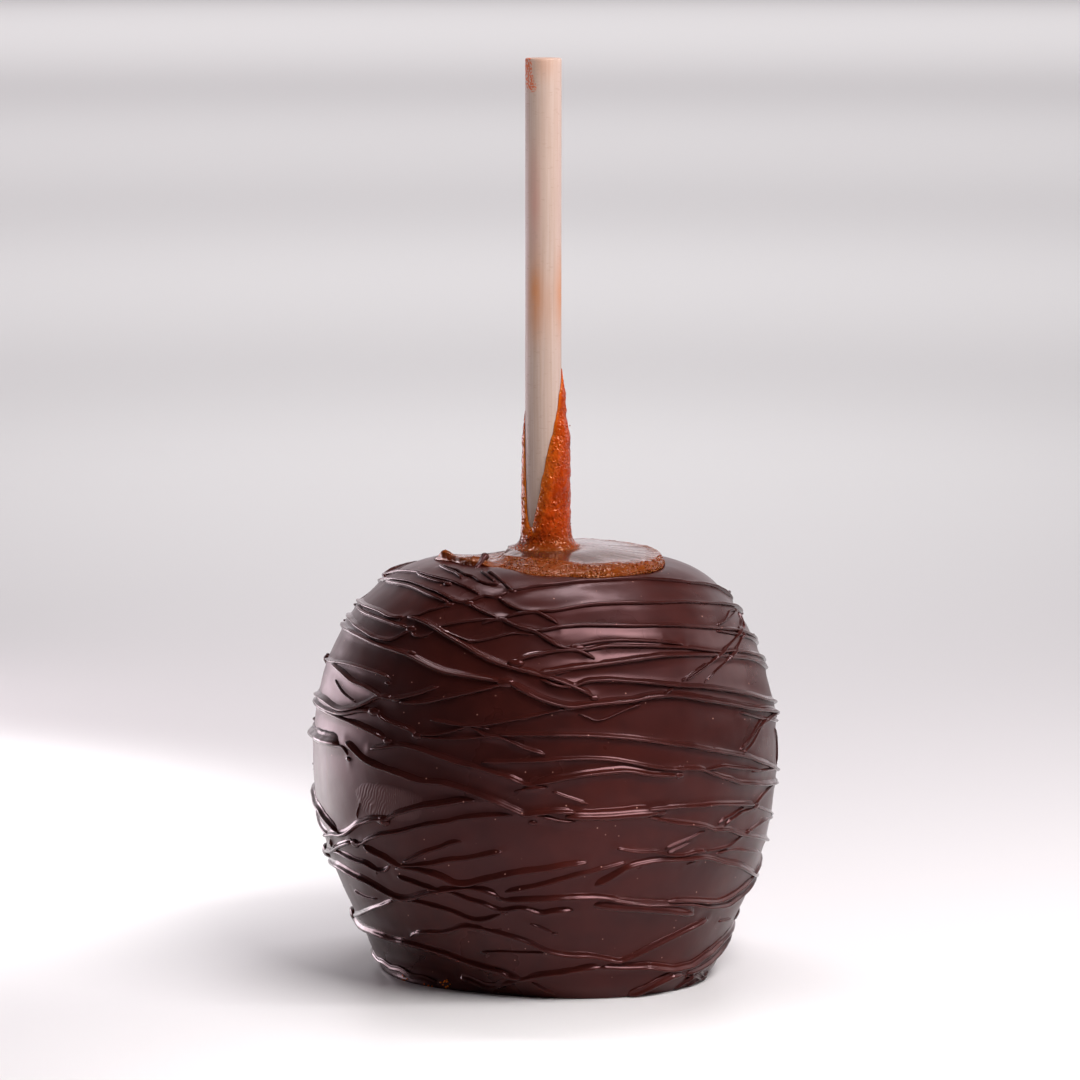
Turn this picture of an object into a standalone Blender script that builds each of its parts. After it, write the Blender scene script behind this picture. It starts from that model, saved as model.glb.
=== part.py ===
# Dark chocolate caramel apple on a wooden stick.
# Metres, +Z up. The origin is the middle of the flat foot, and the apple's front faces -Y.
# Places on the coat are given as (around, up): degrees round from the front, positive to the
# right, and millimetres measured up the coat's skin from the edge of the foot.
import random
from math import atan2, cos, degrees, exp, radians, sin

import bmesh
import bpy
import numpy as np
from mathutils import Vector

MM = 0.001
GAP = 0.3  # mm left between neighbouring pieces

# The stick: a quarter inch dowel, five and a half inches long, pushed well into the apple.
STICK_RADIUS = 3.175
STICK_LENGTH = 140.0
STICK_TOP = 161.6
STICK_X = -0.3
STICK_EDGE = 0.3
POINT_LENGTH = 8.0
POINT_RADIUS = 1.4
STICK_SIDES = 24

# The coated apple: radius and height, in mm, from the foot over the belly to the top.
OUTLINE = [
    (28.8, 0.0), (30.3, 2.0), (32.3, 6.6), (35.9, 14.0), (38.9, 22.5),
    (40.5, 31.0), (40.9, 39.5), (40.1, 48.0), (37.8, 56.5), (33.4, 64.4),
    (28.0, 69.6), (23.5, 71.8), (20.5, 72.6), (17.0, 73.1), (13.0, 73.4),
]
FOOT_BULGE = 0.13
FOOT_REACH = 26.0
SHOULDER_DROP = 0.028
# Chocolate that pooled at the foot, front left, and set as a low ledge.
LEDGE_OUT = 2.8
LEDGE_AROUND = -52
LEDGE_SPREAD = 30
LEDGE_UP = 4.0

# The chocolate's edge round the caramel, as a radius every 30 degrees from the front.
RIM_EVERY = 30
RIM_RADIUS = [21.0, 22.8, 22.3, 20.7, 20.2, 20.0, 20.0, 20.0, 19.6, 19.0, 17.0, 16.8]

COAT_THICKNESS = 2.5
COAT_SIDES = 40
COAT_FOOT_ROWS = [0.0, 0.015, 0.04, 0.08]  # parts of the way up, where the ledge needs them
COAT_ROWS = 20
COAT_INNER_ROWS = 10
FLOOR_UP = 2.2  # where the coat's inside meets its floor

# The caramel: a bulging pool on top, drawn up the stick as a thin sleeve.
CARAMEL_SIDES = 32
CARAMEL_CORE_ROWS = 10
POOL_HEIGHT = 74.6
POOL_SAG = 0.35
BORE_RADIUS = 3.49
SLEEVE_FOOT = 76.6
SLEEVE_OFFSET = 0.45
# Height of the sleeve's ragged top, every 20 degrees from the front.
SLEEVE_EVERY = 20
SLEEVE_TOP = [87.4, 92.8, 96.8, 101.4, 103.4, 103.2, 102.0, 100.6, 99.4,
              98.8, 98.2, 97.4, 96.4, 95.2, 88.6, 80.0, 78.8, 81.6]

# Thick drizzle on the front, side by side from the top down: width in mm, then its places.
STRANDS = [
    (1.1, [(-16, 81), (-12, 77), (-4, 78), (8, 79.6), (30, 80), (50, 79.3), (70, 75.5), (87, 71.5), (97, 69)]),
    (1.1, [(-97, 75), (-75, 79), (-60, 78.6), (-40, 77.6), (-23, 75.3), (-16, 75.2), (-3, 72.2)]),
    (1.0, [(-3, 72.2), (6, 73.2), (20, 74.2), (34, 73.7), (51, 73), (69, 71), (86, 68.3), (97, 66)]),
    (0.9, [(-97, 74.5), (-82, 75.3), (-57, 75), (-31, 73.4), (-18, 74.6)]),
    (1.2, [(-97, 68.5), (-67, 69.8), (-44, 67.3), (-33, 68), (-20, 66.2), (-10, 67.9), (-2, 68)]),
    (1.1, [(-14, 70.8), (-3, 68.5), (10, 69.6), (25, 69.1), (41, 68.3), (60, 66.4), (72, 64.8), (95, 61.2)]),
    (1.5, [(-33, 68), (-24, 65.5), (-14, 62.5), (0, 60.3), (7, 58.7), (12.5, 56.6)]),
    (1.2, [(-97, 65.5), (-77, 65.4), (-55, 64.3), (-40, 62.6), (-27, 60.3), (-12, 59.4)]),
    (1.6, [(-9, 62.5), (0, 64.3), (8, 65.2), (25, 64.9), (40, 64), (52, 62.7), (66, 61.4), (86, 58.2), (97, 56)]),
    (0.9, [(-2, 68), (1, 66.3), (8, 65.1), (15, 62.8)]),
    (1.5, [(-1, 60.4), (8, 61.6), (20, 62.1), (36, 62.2), (52, 61.1), (66, 60), (80, 58.4)]),
    (1.2, [(7, 58.8), (20, 58.9), (31, 57.8), (40, 56.7), (52, 55.4), (65, 53.1), (82, 51), (97, 49)]),
    (1.2, [(-97, 57.3), (-75, 57.6), (-46, 56), (-40, 55), (-27, 57.7), (-10, 59)]),
    (1.5, [(-15, 60.3), (-2, 56.7), (5, 54.9), (26, 55.8), (37, 55.4), (50, 53.3), (66, 50.8), (97, 47)]),
    (1.2, [(-97, 50.6), (-80, 51), (-60, 51.3), (-46, 55), (-40, 55)]),
    (1.1, [(-44, 51.3), (-33, 49.3), (-18, 51.1), (-9, 49.3), (1, 46.8)]),
    (1.1, [(-12, 50.2), (5, 50.3), (19, 49.5), (35, 47.5), (52, 44.7), (67, 42.3), (85, 39.6), (97, 37.8)]),
    (1.4, [(-97, 49.5), (-62, 49.8), (-41, 47.6), (-33, 46.2), (-16, 44.6), (-4, 41.9), (10, 43.2), (22, 43.9)]),
    (1.0, [(-14, 45.6), (5, 46), (20, 45.3), (34, 43.4), (50, 41), (68, 38), (97, 34.5)]),
    (1.2, [(-97, 46), (-72, 45), (-50, 43.8), (-30, 41), (-15, 39.4), (-5, 36.6), (8, 36.9)]),
    (2.2, [(4, 36.4), (15, 36.2), (27, 36.3), (40, 36.7), (50, 36.2), (60, 34.8)]),
    (1.2, [(22, 35.8), (35, 33.6), (47, 31.6), (60, 29.4), (75, 27.4), (97, 25.4)]),
    (1.7, [(-97, 30.8), (-68, 28.2), (-61, 29.5), (-53, 32.2), (-38, 34.4), (-20, 38.2), (-14, 38.9)]),
    (1.2, [(-56, 28.8), (-49, 29.6), (-36, 33), (-19, 35.6), (-6, 36.5)]),
    (2.0, [(-103, 23.8), (-88, 24.4), (-72, 26), (-60, 27.8), (-54, 28.4)]),
    (1.5, [(-80, 24.4), (-56, 24.9), (-43, 24.9), (-34, 27.2), (-22, 29.6), (-8, 31)]),
    (1.8, [(-43, 24.9), (-34, 25.7), (-22, 23.6), (-10, 25.6), (5, 27.6), (20, 28.6)]),
    (1.5, [(-97, 22.4), (-77, 21.6), (-57, 20.8), (-39, 19.9), (-24, 21.8), (-14, 22.2), (-6, 21.2)]),
    (1.8, [(-11, 21.2), (0, 20.9), (15, 21), (28, 19), (44, 18), (60, 16.1), (75, 17.2), (97, 18.6)]),
    (1.1, [(-10, 22.5), (8, 25.7), (20, 27.5), (31, 27.4), (46, 26.3), (57, 23.7), (70, 21.6), (97, 19)]),
    (1.2, [(-55, 17.6), (-36, 19.3), (-19, 16.5), (-11, 18.3), (-1, 18.5), (12, 19)]),
    (1.2, [(-85, 10.8), (-73, 12.8), (-60, 15.5), (-47, 18.2)]),
    (2.4, [(-103, 10.6), (-88, 10.6), (-66, 9.6), (-48, 10.4), (-38, 13), (-24, 15), (-12, 14)]),
    (1.6, [(-16, 14.4), (-5, 12.4), (5, 9.8), (22, 8.3), (34, 11), (50, 14.3), (60, 13), (72, 12)]),
    (1.6, [(-62, 8), (-38, 10), (-20, 7), (-9, 4.8), (4, 5.9), (19, 6.9), (33, 6), (48, 4)]),
    (1.1, [(-6, 4.2), (0, 2.4), (7, 0.9)]),
    (1.4, [(22, 2.2), (33, 2.2), (41, 4.3)]),
    (2.2, [(45, 4.2), (55, 5.4), (64, 7.6), (74, 9.4), (88, 10.4), (103, 10.5)]),
]
# Drops where strands meet or turn: place, then radius in mm.
DROPS = [(-89, 24.3, 2.3), (-92, 10.6, 2.2), (91, 10.4, 2.0), (-41.5, 47.7, 1.3), (-48, 52, 1.3), (-10, 59, 1.4)]

# The drizzle goes on round the back: where strands leave the right side and come in on the left.
BACK_RIGHT = [70.5, 67, 61.7, 56.5, 49.2, 46.5, 38, 25.4, 18.8, 10.5]
BACK_LEFT = [75, 68.8, 65.5, 57.3, 50.6, 46, 38, 30.8, 22.4, 10.6]
BACK_WIDTH = 1.4
BACK_SEED = 5

STRAND_STEP = 8.0
STRAND_LIFT = 0.1  # how far a strand's middle lies above the skin, as a part of its width
DROP_SINK = 0.3
MM_PER_DEGREE = 0.7

CHOCOLATE_COLOUR = (0.045, 0.016, 0.012, 1)
CHOCOLATE_ROUGHNESS = 0.28
CARAMEL_COLOUR = (0.36, 0.09, 0.015, 1)
CARAMEL_ROUGHNESS = 0.2
WOOD_COLOUR = (0.74, 0.56, 0.42, 1)
WOOD_ROUGHNESS = 0.7


def clear_scene():
    for old in list(bpy.data.objects):
        bpy.data.objects.remove(old)


def material(name, colour, roughness):
    mat = bpy.data.materials.new(name)
    mat.use_nodes = True
    surface = mat.node_tree.nodes["Principled BSDF"]
    surface.inputs["Base Color"].default_value = colour
    surface.inputs["Roughness"].default_value = roughness
    surface.inputs["Metallic"].default_value = 0.0
    mat.diffuse_color = colour
    return mat


def smooth_line(points, step):
    """Evenly spaced points on a smooth curve that passes through the given ones."""
    p = np.array(points, float)
    t = np.concatenate([[0.0], np.cumsum(np.linalg.norm(np.diff(p, axis=0), axis=1))])
    slope = np.gradient(p, t, axis=0)
    at = np.linspace(0.0, t[-1], max(3, round(t[-1] / step) + 1))
    i = np.clip(np.searchsorted(t, at, side="right") - 1, 0, len(t) - 2)
    h = (t[i + 1] - t[i])[:, None]
    u = (at - t[i])[:, None] / h
    return (
        (2 * u**3 - 3 * u**2 + 1) * p[i]
        + (u**3 - 2 * u**2 + u) * h * slope[i]
        + (3 * u**2 - 2 * u**3) * p[i + 1]
        + (u**3 - u**2) * h * slope[i + 1]
    )


PROFILE = smooth_line(OUTLINE, 0.25)
ALONG = np.concatenate([[0.0], np.cumsum(np.linalg.norm(np.diff(PROFILE, axis=0), axis=1))])


def by_angle(values, every, around):
    """A value that changes smoothly round the stick, read from evenly spaced ones."""
    place = (around / every) % len(values)
    first = int(place)
    blend = (1 - cos((place - first) * radians(180))) / 2
    return values[first] * (1 - blend) + values[(first + 1) % len(values)] * blend


def skin(around, up, lift=0.0):
    """A point on the coat, or lift mm off it, in mm."""
    radius = float(np.interp(up, ALONG, PROFILE[:, 0]))
    height = float(np.interp(up, ALONG, PROFILE[:, 1]))
    ahead = float(np.interp(up + 0.5, ALONG, PROFILE[:, 0])) - float(np.interp(up - 0.5, ALONG, PROFILE[:, 0]))
    rise = float(np.interp(up + 0.5, ALONG, PROFILE[:, 1])) - float(np.interp(up - 0.5, ALONG, PROFILE[:, 1]))
    out = Vector((rise, -ahead)).normalized()
    a = radians(around)
    foot = max(0.0, min(1.0, 1 - up / FOOT_REACH)) ** 2
    stretch = 1 + foot * FOOT_BULGE * sin(2 * a) * (1 + cos(a)) / 2
    shoulder = exp(-(((up - 82) / 13.0) ** 2))
    stretch -= SHOULDER_DROP * shoulder * max(0.0, -sin(a)) ** 2
    turn = ((around - LEDGE_AROUND + 180) % 360 - 180) / LEDGE_SPREAD
    ledge = LEDGE_OUT * exp(-turn * turn) * max(0.0, min(1.0, 1 - up / LEDGE_UP)) ** 1.5
    radius = radius * stretch + ledge + lift * out.x
    return Vector((radius * sin(a), -radius * cos(a), height + lift * out.y))


def rim_up(around):
    """Distance up the skin to the chocolate's edge, which is nearer the stick in places."""
    radius = by_angle(RIM_RADIUS, RIM_EVERY, around)
    top = len(ALONG) - 1
    return float(np.interp(-radius, -PROFILE[top // 2:, 0], ALONG[top // 2:]))


def turned(name, sides, rows, place, mat):
    """A closed round body: a line turned once round the axis, each of its rows then put in place."""
    bm = bmesh.new()
    line = [bm.verts.new((1.0, 0.0, row)) for row in range(rows)]
    edges = [bm.edges.new(pair) for pair in zip(line, line[1:])]
    bmesh.ops.spin(bm, geom=line + edges, cent=(0, 0, 0), axis=(0, 0, 1), angle=radians(360),
                   steps=sides, use_merge=True)
    for vert in bm.verts:
        around = degrees(atan2(vert.co.x, -vert.co.y))
        vert.co = place(around, round(vert.co.z)) * MM
    bmesh.ops.remove_doubles(bm, verts=bm.verts, dist=0.00001)
    bmesh.ops.recalc_face_normals(bm, faces=bm.faces)
    mesh = bpy.data.meshes.new(name)
    bm.to_mesh(mesh)
    bm.free()
    mesh.materials.append(mat)
    mesh.shade_smooth()
    return bpy.data.objects.new(name, mesh)


def coat_place(around, row):
    """Up the outside, over the rim and down the inside of the chocolate."""
    rim = rim_up(around)
    if row == 0:
        return Vector((0, 0, 0))
    row -= 1
    if row < COAT_ROWS:
        foot = len(COAT_FOOT_ROWS) - 1
        part = COAT_FOOT_ROWS[-1] + (1 - COAT_FOOT_ROWS[-1]) * (row - foot) / (COAT_ROWS - 1 - foot)
        if row < foot:
            part = COAT_FOOT_ROWS[row]
        return skin(around, (rim - 0.8) * part)
    row -= COAT_ROWS
    if row == 0:
        return skin(around, rim, -0.7)
    if row == 1:
        return skin(around, rim, 0.4 - COAT_THICKNESS)
    row -= 2
    if row < COAT_INNER_ROWS:
        part = row / (COAT_INNER_ROWS - 1)
        return skin(around, (rim - 0.6) * (1 - part) + FLOOR_UP * part, -COAT_THICKNESS)
    return Vector((0, 0, skin(0, FLOOR_UP, -COAT_THICKNESS).z))


def make_coat(collection, mat):
    rows = 1 + COAT_ROWS + 2 + COAT_INNER_ROWS + 1
    coat = turned("chocolate_coat", COAT_SIDES, rows, coat_place, mat)
    collection.objects.link(coat)
    return coat


def strand(number, width, places, collection):
    """One cord of chocolate lying on the skin, half sunk in it, its ends running into it."""
    scaled = [(around * MM_PER_DEGREE, up) for around, up in places]
    line = smooth_line(scaled, STRAND_STEP)
    curve = bpy.data.curves.new(f"strand_{number:02d}", "CURVE")
    curve.dimensions = "3D"
    curve.bevel_depth = width * MM / 2
    curve.bevel_resolution = 1
    curve.use_fill_caps = True
    path = curve.splines.new("POLY")
    path.points.add(len(line) - 1)
    for i, (across, up) in enumerate(line):
        end = i in (0, len(line) - 1)
        lift = -width / 2 if end else STRAND_LIFT * width
        spot = skin(across / MM_PER_DEGREE, up, lift) * MM
        path.points[i].co = (*spot, 1.0)
        path.points[i].radius = 0.55 if end else 1.0
    laid = bpy.data.objects.new(curve.name, curve)
    collection.objects.link(laid)
    return as_mesh(laid, collection)


def as_mesh(laid, collection):
    """The curve as a mesh of its own, with its end caps welded on."""
    bpy.context.view_layer.update()
    graph = bpy.context.evaluated_depsgraph_get()
    mesh = bpy.data.meshes.new_from_object(laid.evaluated_get(graph))
    bm = bmesh.new()
    bm.from_mesh(mesh)
    bmesh.ops.remove_doubles(bm, verts=bm.verts, dist=0.00001)
    bmesh.ops.recalc_face_normals(bm, faces=bm.faces)
    bm.to_mesh(mesh)
    bm.free()
    solid = bpy.data.objects.new(laid.name + "_solid", mesh)
    solid.matrix_world = laid.matrix_world
    collection.objects.link(solid)
    bpy.data.objects.remove(laid)
    return solid


def drop(number, around, up, radius, collection):
    """A flattened drop of chocolate where strands meet."""
    bpy.ops.mesh.primitive_ico_sphere_add(subdivisions=2, radius=radius * MM)
    bead = bpy.context.object
    bead.name = f"drop_{number:02d}"
    bead.location = skin(around, up, -DROP_SINK * radius) * MM
    bead.rotation_euler = (0.3 * number, 0.7 * number, 0)
    for old in list(bead.users_collection):
        old.objects.unlink(bead)
    collection.objects.link(bead)


def back_strands():
    """Strands that carry on behind, each sagging and wandering a little on its way round."""
    wander = random.Random(BACK_SEED)
    found = []
    for start, end in zip(BACK_RIGHT, BACK_LEFT):
        places = [(94, start)]
        for around in (125, 155, 190, 225, 245):
            part = (around - 94) / (266 - 94)
            level = start + (end - start) * part + wander.uniform(-2.0, 2.0)
            places.append((around, level))
        places.append((266, end))
        found.append((BACK_WIDTH * wander.uniform(0.75, 1.25), places))
    return found


def lay_drizzle(coat, model):
    """All the thick drizzle, joined to the coat as one solid."""
    drizzle = bpy.data.collections.new("drizzle")
    bpy.context.scene.collection.children.link(drizzle)
    for number, (width, places) in enumerate(STRANDS + back_strands()):
        strand(number, width, places, drizzle)
    for number, (around, up, radius) in enumerate(DROPS):
        drop(number, around, up, radius, drizzle)
    join = coat.modifiers.new("drizzle", "BOOLEAN")
    join.operation = "UNION"
    join.operand_type = "COLLECTION"
    join.collection = drizzle
    join.solver = "MANIFOLD"
    bpy.context.view_layer.update()
    graph = bpy.context.evaluated_depsgraph_get()
    joined = bpy.data.meshes.new_from_object(coat.evaluated_get(graph))
    coat.modifiers.clear()
    coat.data = joined
    for piece in list(drizzle.objects):
        bpy.data.objects.remove(piece)
    bpy.data.collections.remove(drizzle)


def keep_main_body(obj):
    """Tiny edges are merged, and loose scraps and sealed pockets left by the join are dropped."""
    bm = bmesh.new()
    bm.from_mesh(obj.data)
    bmesh.ops.remove_doubles(bm, verts=bm.verts, dist=0.00003)
    bmesh.ops.dissolve_degenerate(bm, edges=bm.edges, dist=0.00001)
    bmesh.ops.triangulate(bm, faces=bm.faces)
    left = set(bm.faces)
    bodies = []
    while left:
        todo = [left.pop()]
        body = list(todo)
        while todo:
            face = todo.pop()
            for edge in face.edges:
                for other in edge.link_faces:
                    if other in left:
                        left.remove(other)
                        todo.append(other)
                        body.append(other)
        bodies.append(body)
    bodies.sort(key=len)
    for body in bodies[:-1]:
        bmesh.ops.delete(bm, geom=body, context="FACES")
    loose = [vert for vert in bm.verts if not vert.link_faces]
    bmesh.ops.delete(bm, geom=loose, context="VERTS")
    bm.to_mesh(obj.data)
    bm.free()


def caramel_rows():
    """The rows of the caramel, from the middle of its floor up, out and back down the stick's bore."""
    rows = [("floor", 0)]
    rows += [("core", i / (CARAMEL_CORE_ROWS - 1)) for i in range(CARAMEL_CORE_ROWS)]
    rows += [("neck", lift) for lift in (-1.2, 0.2)]
    rows += [("bulge", turn) for turn in (25, 55, 85)]
    rows += [("pool", part) for part in (0.3, 0.62, 0.86)]
    rows += [("sleeve", part) for part in (0.0, 0.12, 0.3, 0.55, 0.8, 1.0)]
    rows += [("bore", part) for part in (1.0, 0.4, 0.0)]
    rows += [("tip", 0), ("bottom", 0)]
    return rows


ROWS = caramel_rows()


def caramel_place(around, row):
    kind, part = ROWS[row]
    a = radians(around)
    rim = rim_up(around)
    depth = COAT_THICKNESS + GAP
    inside = rim + GAP
    edge = skin(around, inside)
    reach = Vector((edge.x, edge.y)).length
    top = by_angle(SLEEVE_TOP, SLEEVE_EVERY, around)
    way = Vector((sin(a), -cos(a), 0))
    stick = Vector((STICK_X, 0, 0))
    if kind == "floor":
        return Vector((0, 0, skin(0, FLOOR_UP, -COAT_THICKNESS).z + GAP))
    if kind == "core":
        spot = skin(around, (FLOOR_UP + GAP) * (1 - part) + inside * part, -depth)
        spot.z = max(spot.z, skin(0, FLOOR_UP, -COAT_THICKNESS).z + GAP)
        return spot
    if kind == "neck":
        return skin(around, inside, part)
    if kind == "bulge":
        swell = POOL_HEIGHT - edge.z
        out = reach + 0.25 * sin(radians(2 * part)) - 1.6 * (1 - cos(radians(part)))
        return way * out + Vector((0, 0, edge.z + 0.2 + (swell - 0.2) * sin(radians(part))))
    if kind == "pool":
        inner = 6.4
        out = (reach - 1.6) * (1 - part) + inner * part
        sag = POOL_SAG * sin(radians(180 * part))
        return way * out + Vector((STICK_X * part, 0, POOL_HEIGHT - sag))
    if kind == "sleeve":
        wall = [2.1, 1.35, 1.15, 1.1, 0.85, 0.55][(0.0, 0.12, 0.3, 0.55, 0.8, 1.0).index(part)]
        height = SLEEVE_FOOT - 1.2 + (top - SLEEVE_FOOT + 1.2) * part
        shift = SLEEVE_OFFSET * (1 - part**3)
        out = STICK_RADIUS + GAP + wall * (0.8 if part == 1.0 else 1.0)
        return stick + Vector((shift * max(0.0, sin(a)), 0, 0)) + way * out + Vector((0, 0, height))
    if kind == "bore":
        height = (top - 0.25) * part + (STICK_TOP - STICK_LENGTH + POINT_LENGTH) * (1 - part)
        return stick + way * BORE_RADIUS + Vector((0, 0, height))
    if kind == "tip":
        return stick + way * (POINT_RADIUS + 2 * GAP) + Vector((0, 0, STICK_TOP - STICK_LENGTH - GAP))
    return stick + Vector((0, 0, STICK_TOP - STICK_LENGTH - GAP))


def make_caramel(collection, mat):
    caramel = turned("caramel", CARAMEL_SIDES, len(ROWS), caramel_place, mat)
    collection.objects.link(caramel)
    return caramel


def make_stick(collection, mat):
    """A dowel with a softened top edge and a blunt point, turned from its profile."""
    bottom = STICK_TOP - STICK_LENGTH
    profile = [
        (0, STICK_TOP),
        (STICK_RADIUS - STICK_EDGE, STICK_TOP),
        (STICK_RADIUS, STICK_TOP - STICK_EDGE),
        (STICK_RADIUS, bottom + POINT_LENGTH + 0.3),
        (POINT_RADIUS, bottom),
        (0, bottom),
    ]
    mesh = bpy.data.meshes.new("stick")
    verts = [(radius * MM, 0, height * MM) for radius, height in profile]
    edges = [(i, i + 1) for i in range(len(profile) - 1)]
    mesh.from_pydata(verts, edges, [])
    mesh.materials.append(mat)
    stick = bpy.data.objects.new("stick", mesh)
    stick.location = (STICK_X * MM, 0, 0)
    turn = stick.modifiers.new("turn", "SCREW")
    turn.axis = "Z"
    turn.steps = STICK_SIDES
    turn.render_steps = STICK_SIDES
    turn.use_merge_vertices = True
    turn.merge_threshold = 0.00001
    turn.use_smooth_shade = True
    collection.objects.link(stick)
    return stick


def build():
    clear_scene()
    model = bpy.data.collections.new("chocolate_caramel_apple")
    bpy.context.scene.collection.children.link(model)
    make_stick(model, material("stick_wood", WOOD_COLOUR, WOOD_ROUGHNESS))
    make_caramel(model, material("caramel", CARAMEL_COLOUR, CARAMEL_ROUGHNESS))
    coat = make_coat(model, material("dark_chocolate", CHOCOLATE_COLOUR, CHOCOLATE_ROUGHNESS))
    lay_drizzle(coat, model)
    keep_main_body(coat)


build()
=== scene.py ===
import random
from math import cos, exp, pi, radians, sin

import bmesh
import bpy
import numpy as np
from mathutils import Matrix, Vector, noise


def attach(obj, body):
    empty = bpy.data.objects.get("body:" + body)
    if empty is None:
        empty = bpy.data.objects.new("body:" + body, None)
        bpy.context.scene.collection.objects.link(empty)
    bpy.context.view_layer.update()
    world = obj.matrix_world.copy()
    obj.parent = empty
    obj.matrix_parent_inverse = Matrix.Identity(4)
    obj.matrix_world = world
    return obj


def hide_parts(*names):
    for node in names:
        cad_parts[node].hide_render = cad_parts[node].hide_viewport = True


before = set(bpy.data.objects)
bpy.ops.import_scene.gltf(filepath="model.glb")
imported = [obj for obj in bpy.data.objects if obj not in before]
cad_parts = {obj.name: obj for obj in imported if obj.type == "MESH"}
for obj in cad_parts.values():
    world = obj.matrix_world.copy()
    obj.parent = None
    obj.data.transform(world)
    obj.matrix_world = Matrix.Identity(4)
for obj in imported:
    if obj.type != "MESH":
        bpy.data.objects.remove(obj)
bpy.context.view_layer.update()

# ---- Stick: a quarter inch birch dowel, five and a half inches long, sawn square at the top with
# its edge just broken, blunted at the hidden end and pushed down into the apple's core.
MM = 0.001
STICK_X = -0.3
STICK_RADIUS = 3.175
STICK_TOP = 160.7
STICK_LENGTH = 139.1
POINT_LENGTH = 8.0
POINT_RADIUS = 1.4
STICK_SIDES = 72
STICK_RINGS = 110
STICK_EDGE = 0.35
END_RING = 1.6
FIBRE_DEPTH = 0.035
BIRCH_PALE = (0.45, 0.345, 0.295, 1)
BIRCH_DARK = (0.39, 0.275, 0.218, 1)
BIRCH_FLECK = (0.33, 0.22, 0.17, 1)
CARAMEL_STAIN = (0.42, 0.155, 0.05, 1)
CARAMEL_SMEAR = (0.5, 0.1, 0.025, 1)
PINK_STAIN = (0.4, 0.2, 0.16, 1)
END_GRAIN = (0.2, 0.11, 0.07, 1)
# painted shade: the right side of the dowel made darker, where less light falls
BIRCH_PAINTED_SHADE = (0.38, 0.265, 0.235, 1)
# painted highlight: a pale lilac strip down the left edge, where light from the left catches it
BIRCH_PAINTED_HIGHLIGHT = (0.62, 0.52, 0.54, 1)
# stains on the wood, with painted light among them: painted shade down the right side and a painted
# highlight down the left edge
STAINS_AND_PAINTED_LIGHT = [  # middle and half width across, middle and half height up, strength, colour
    (3.6, 2.6, 130.0, 70.0, 0.8, BIRCH_PAINTED_SHADE), (-1.9, 2.1, 119.0, 12.0, 1.0, CARAMEL_STAIN),
    (2.7, 1.5, 119.5, 11.0, 0.8, CARAMEL_STAIN), (0.3, 2.6, 118.0, 9.0, 0.3, CARAMEL_STAIN),
    (-1.9, 1.7, 136.0, 15.0, 0.9, PINK_STAIN), (-0.3, 3.6, 160.0, 5.0, 0.35, CARAMEL_STAIN),
    (-0.3, 6.0, 161.0, 0.5, 1.0, END_GRAIN), (-3.6, 1.1, 130.0, 60.0, 0.7, BIRCH_PAINTED_HIGHLIGHT),
]
# smears of caramel below the sawn end: as for the stains, and how far they reach front to back
SMEARS = [(-3.2, 1.5, 159.3, 3.2), (-2.7, 1.1, 157.0, 2.4), (-2.1, 1.2, 155.8, 1.7)]
SMEAR_FRONT = (-1.6, 2.4)


def node(tree, kind, inputs=None, **settings):
    """A shader node with its settings made and its sockets set or linked."""
    made = tree.nodes.new("ShaderNode" + kind)
    for key, value in settings.items():
        setattr(made, key, value)
    for key, value in (inputs or {}).items():
        if isinstance(value, bpy.types.NodeSocket):
            tree.links.new(value, made.inputs[key])
        else:
            made.inputs[key].default_value = value
    return made


def mixed(tree, factor, first, second, blend="MIX"):
    """Two colours blended by a factor."""
    made = node(tree, "Mix", {0: factor, 6: first, 7: second}, data_type="RGBA", blend_type=blend)
    return made.outputs[2]


def ramp(tree, factor, *stops):
    """A value turned into another by straight steps between stops of (place, value)."""
    made = node(tree, "ValToRGB", {0: factor})
    points = made.color_ramp.elements
    while len(points) < len(stops):
        points.new(0.5)
    for point, (place, value) in zip(points, stops):
        point.position = place
        point.color = value if isinstance(value, tuple) else (value, value, value, 1)
    return made.outputs[0]


def product(tree, value, *others):
    """Values multiplied together."""
    for other in others:
        value = node(tree, "Math", {0: value, 1: other}, operation="MULTIPLY").outputs[0]
    return value


def cloudy(tree, place, scale, detail, **more):
    """Soft noise from 0 to 1: scale is its fineness, the same all ways or one number for each axis."""
    if isinstance(scale, tuple):
        place, scale = node(tree, "Mapping", {"Vector": place, "Scale": scale}).outputs[0], 1.0
    return node(tree, "TexNoise", {"Vector": place, "Scale": scale, "Detail": detail, **more}).outputs[0]


def finish(name, roughness, **sockets):
    """A new material, with its node tree, its shader and the piece's own coordinates."""
    mat = bpy.data.materials.new(name)
    mat.use_nodes = True
    tree = mat.node_tree
    shader = tree.nodes["Principled BSDF"]
    shader.inputs["Roughness"].default_value = roughness
    for key, value in sockets.items():
        shader.inputs[key.replace("_", " ")].default_value = value
    place = node(tree, "TexCoord").outputs["Object"]
    return mat, tree, shader, place


def hump(tree, value, middle, half):
    """1 where value is middle, given in mm, falling smoothly to 0 half mm to either side."""
    away = node(tree, "Math", {0: value, 1: middle * MM}, operation="SUBTRACT").outputs[0]
    away = node(tree, "Math", {0: away}, operation="ABSOLUTE").outputs[0]
    return node(tree, "MapRange", {"Value": away, 1: 0.0, 2: half * MM, 3: 1.0, 4: 0.0},
                interpolation_type="SMOOTHSTEP").outputs[0]


def keep(name, bm, mat, slot, *nodes):
    """The finished piece: smooth, riding on the apple, standing for its solid."""
    mesh = bpy.data.meshes.new(name)
    bm.to_mesh(mesh)
    bm.free()
    mesh.materials.append(mat)
    mesh.shade_smooth()
    piece = bpy.data.objects.new(name, mesh)
    bpy.context.scene.collection.objects.link(piece)
    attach(piece, "root")
    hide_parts(*nodes)


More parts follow.
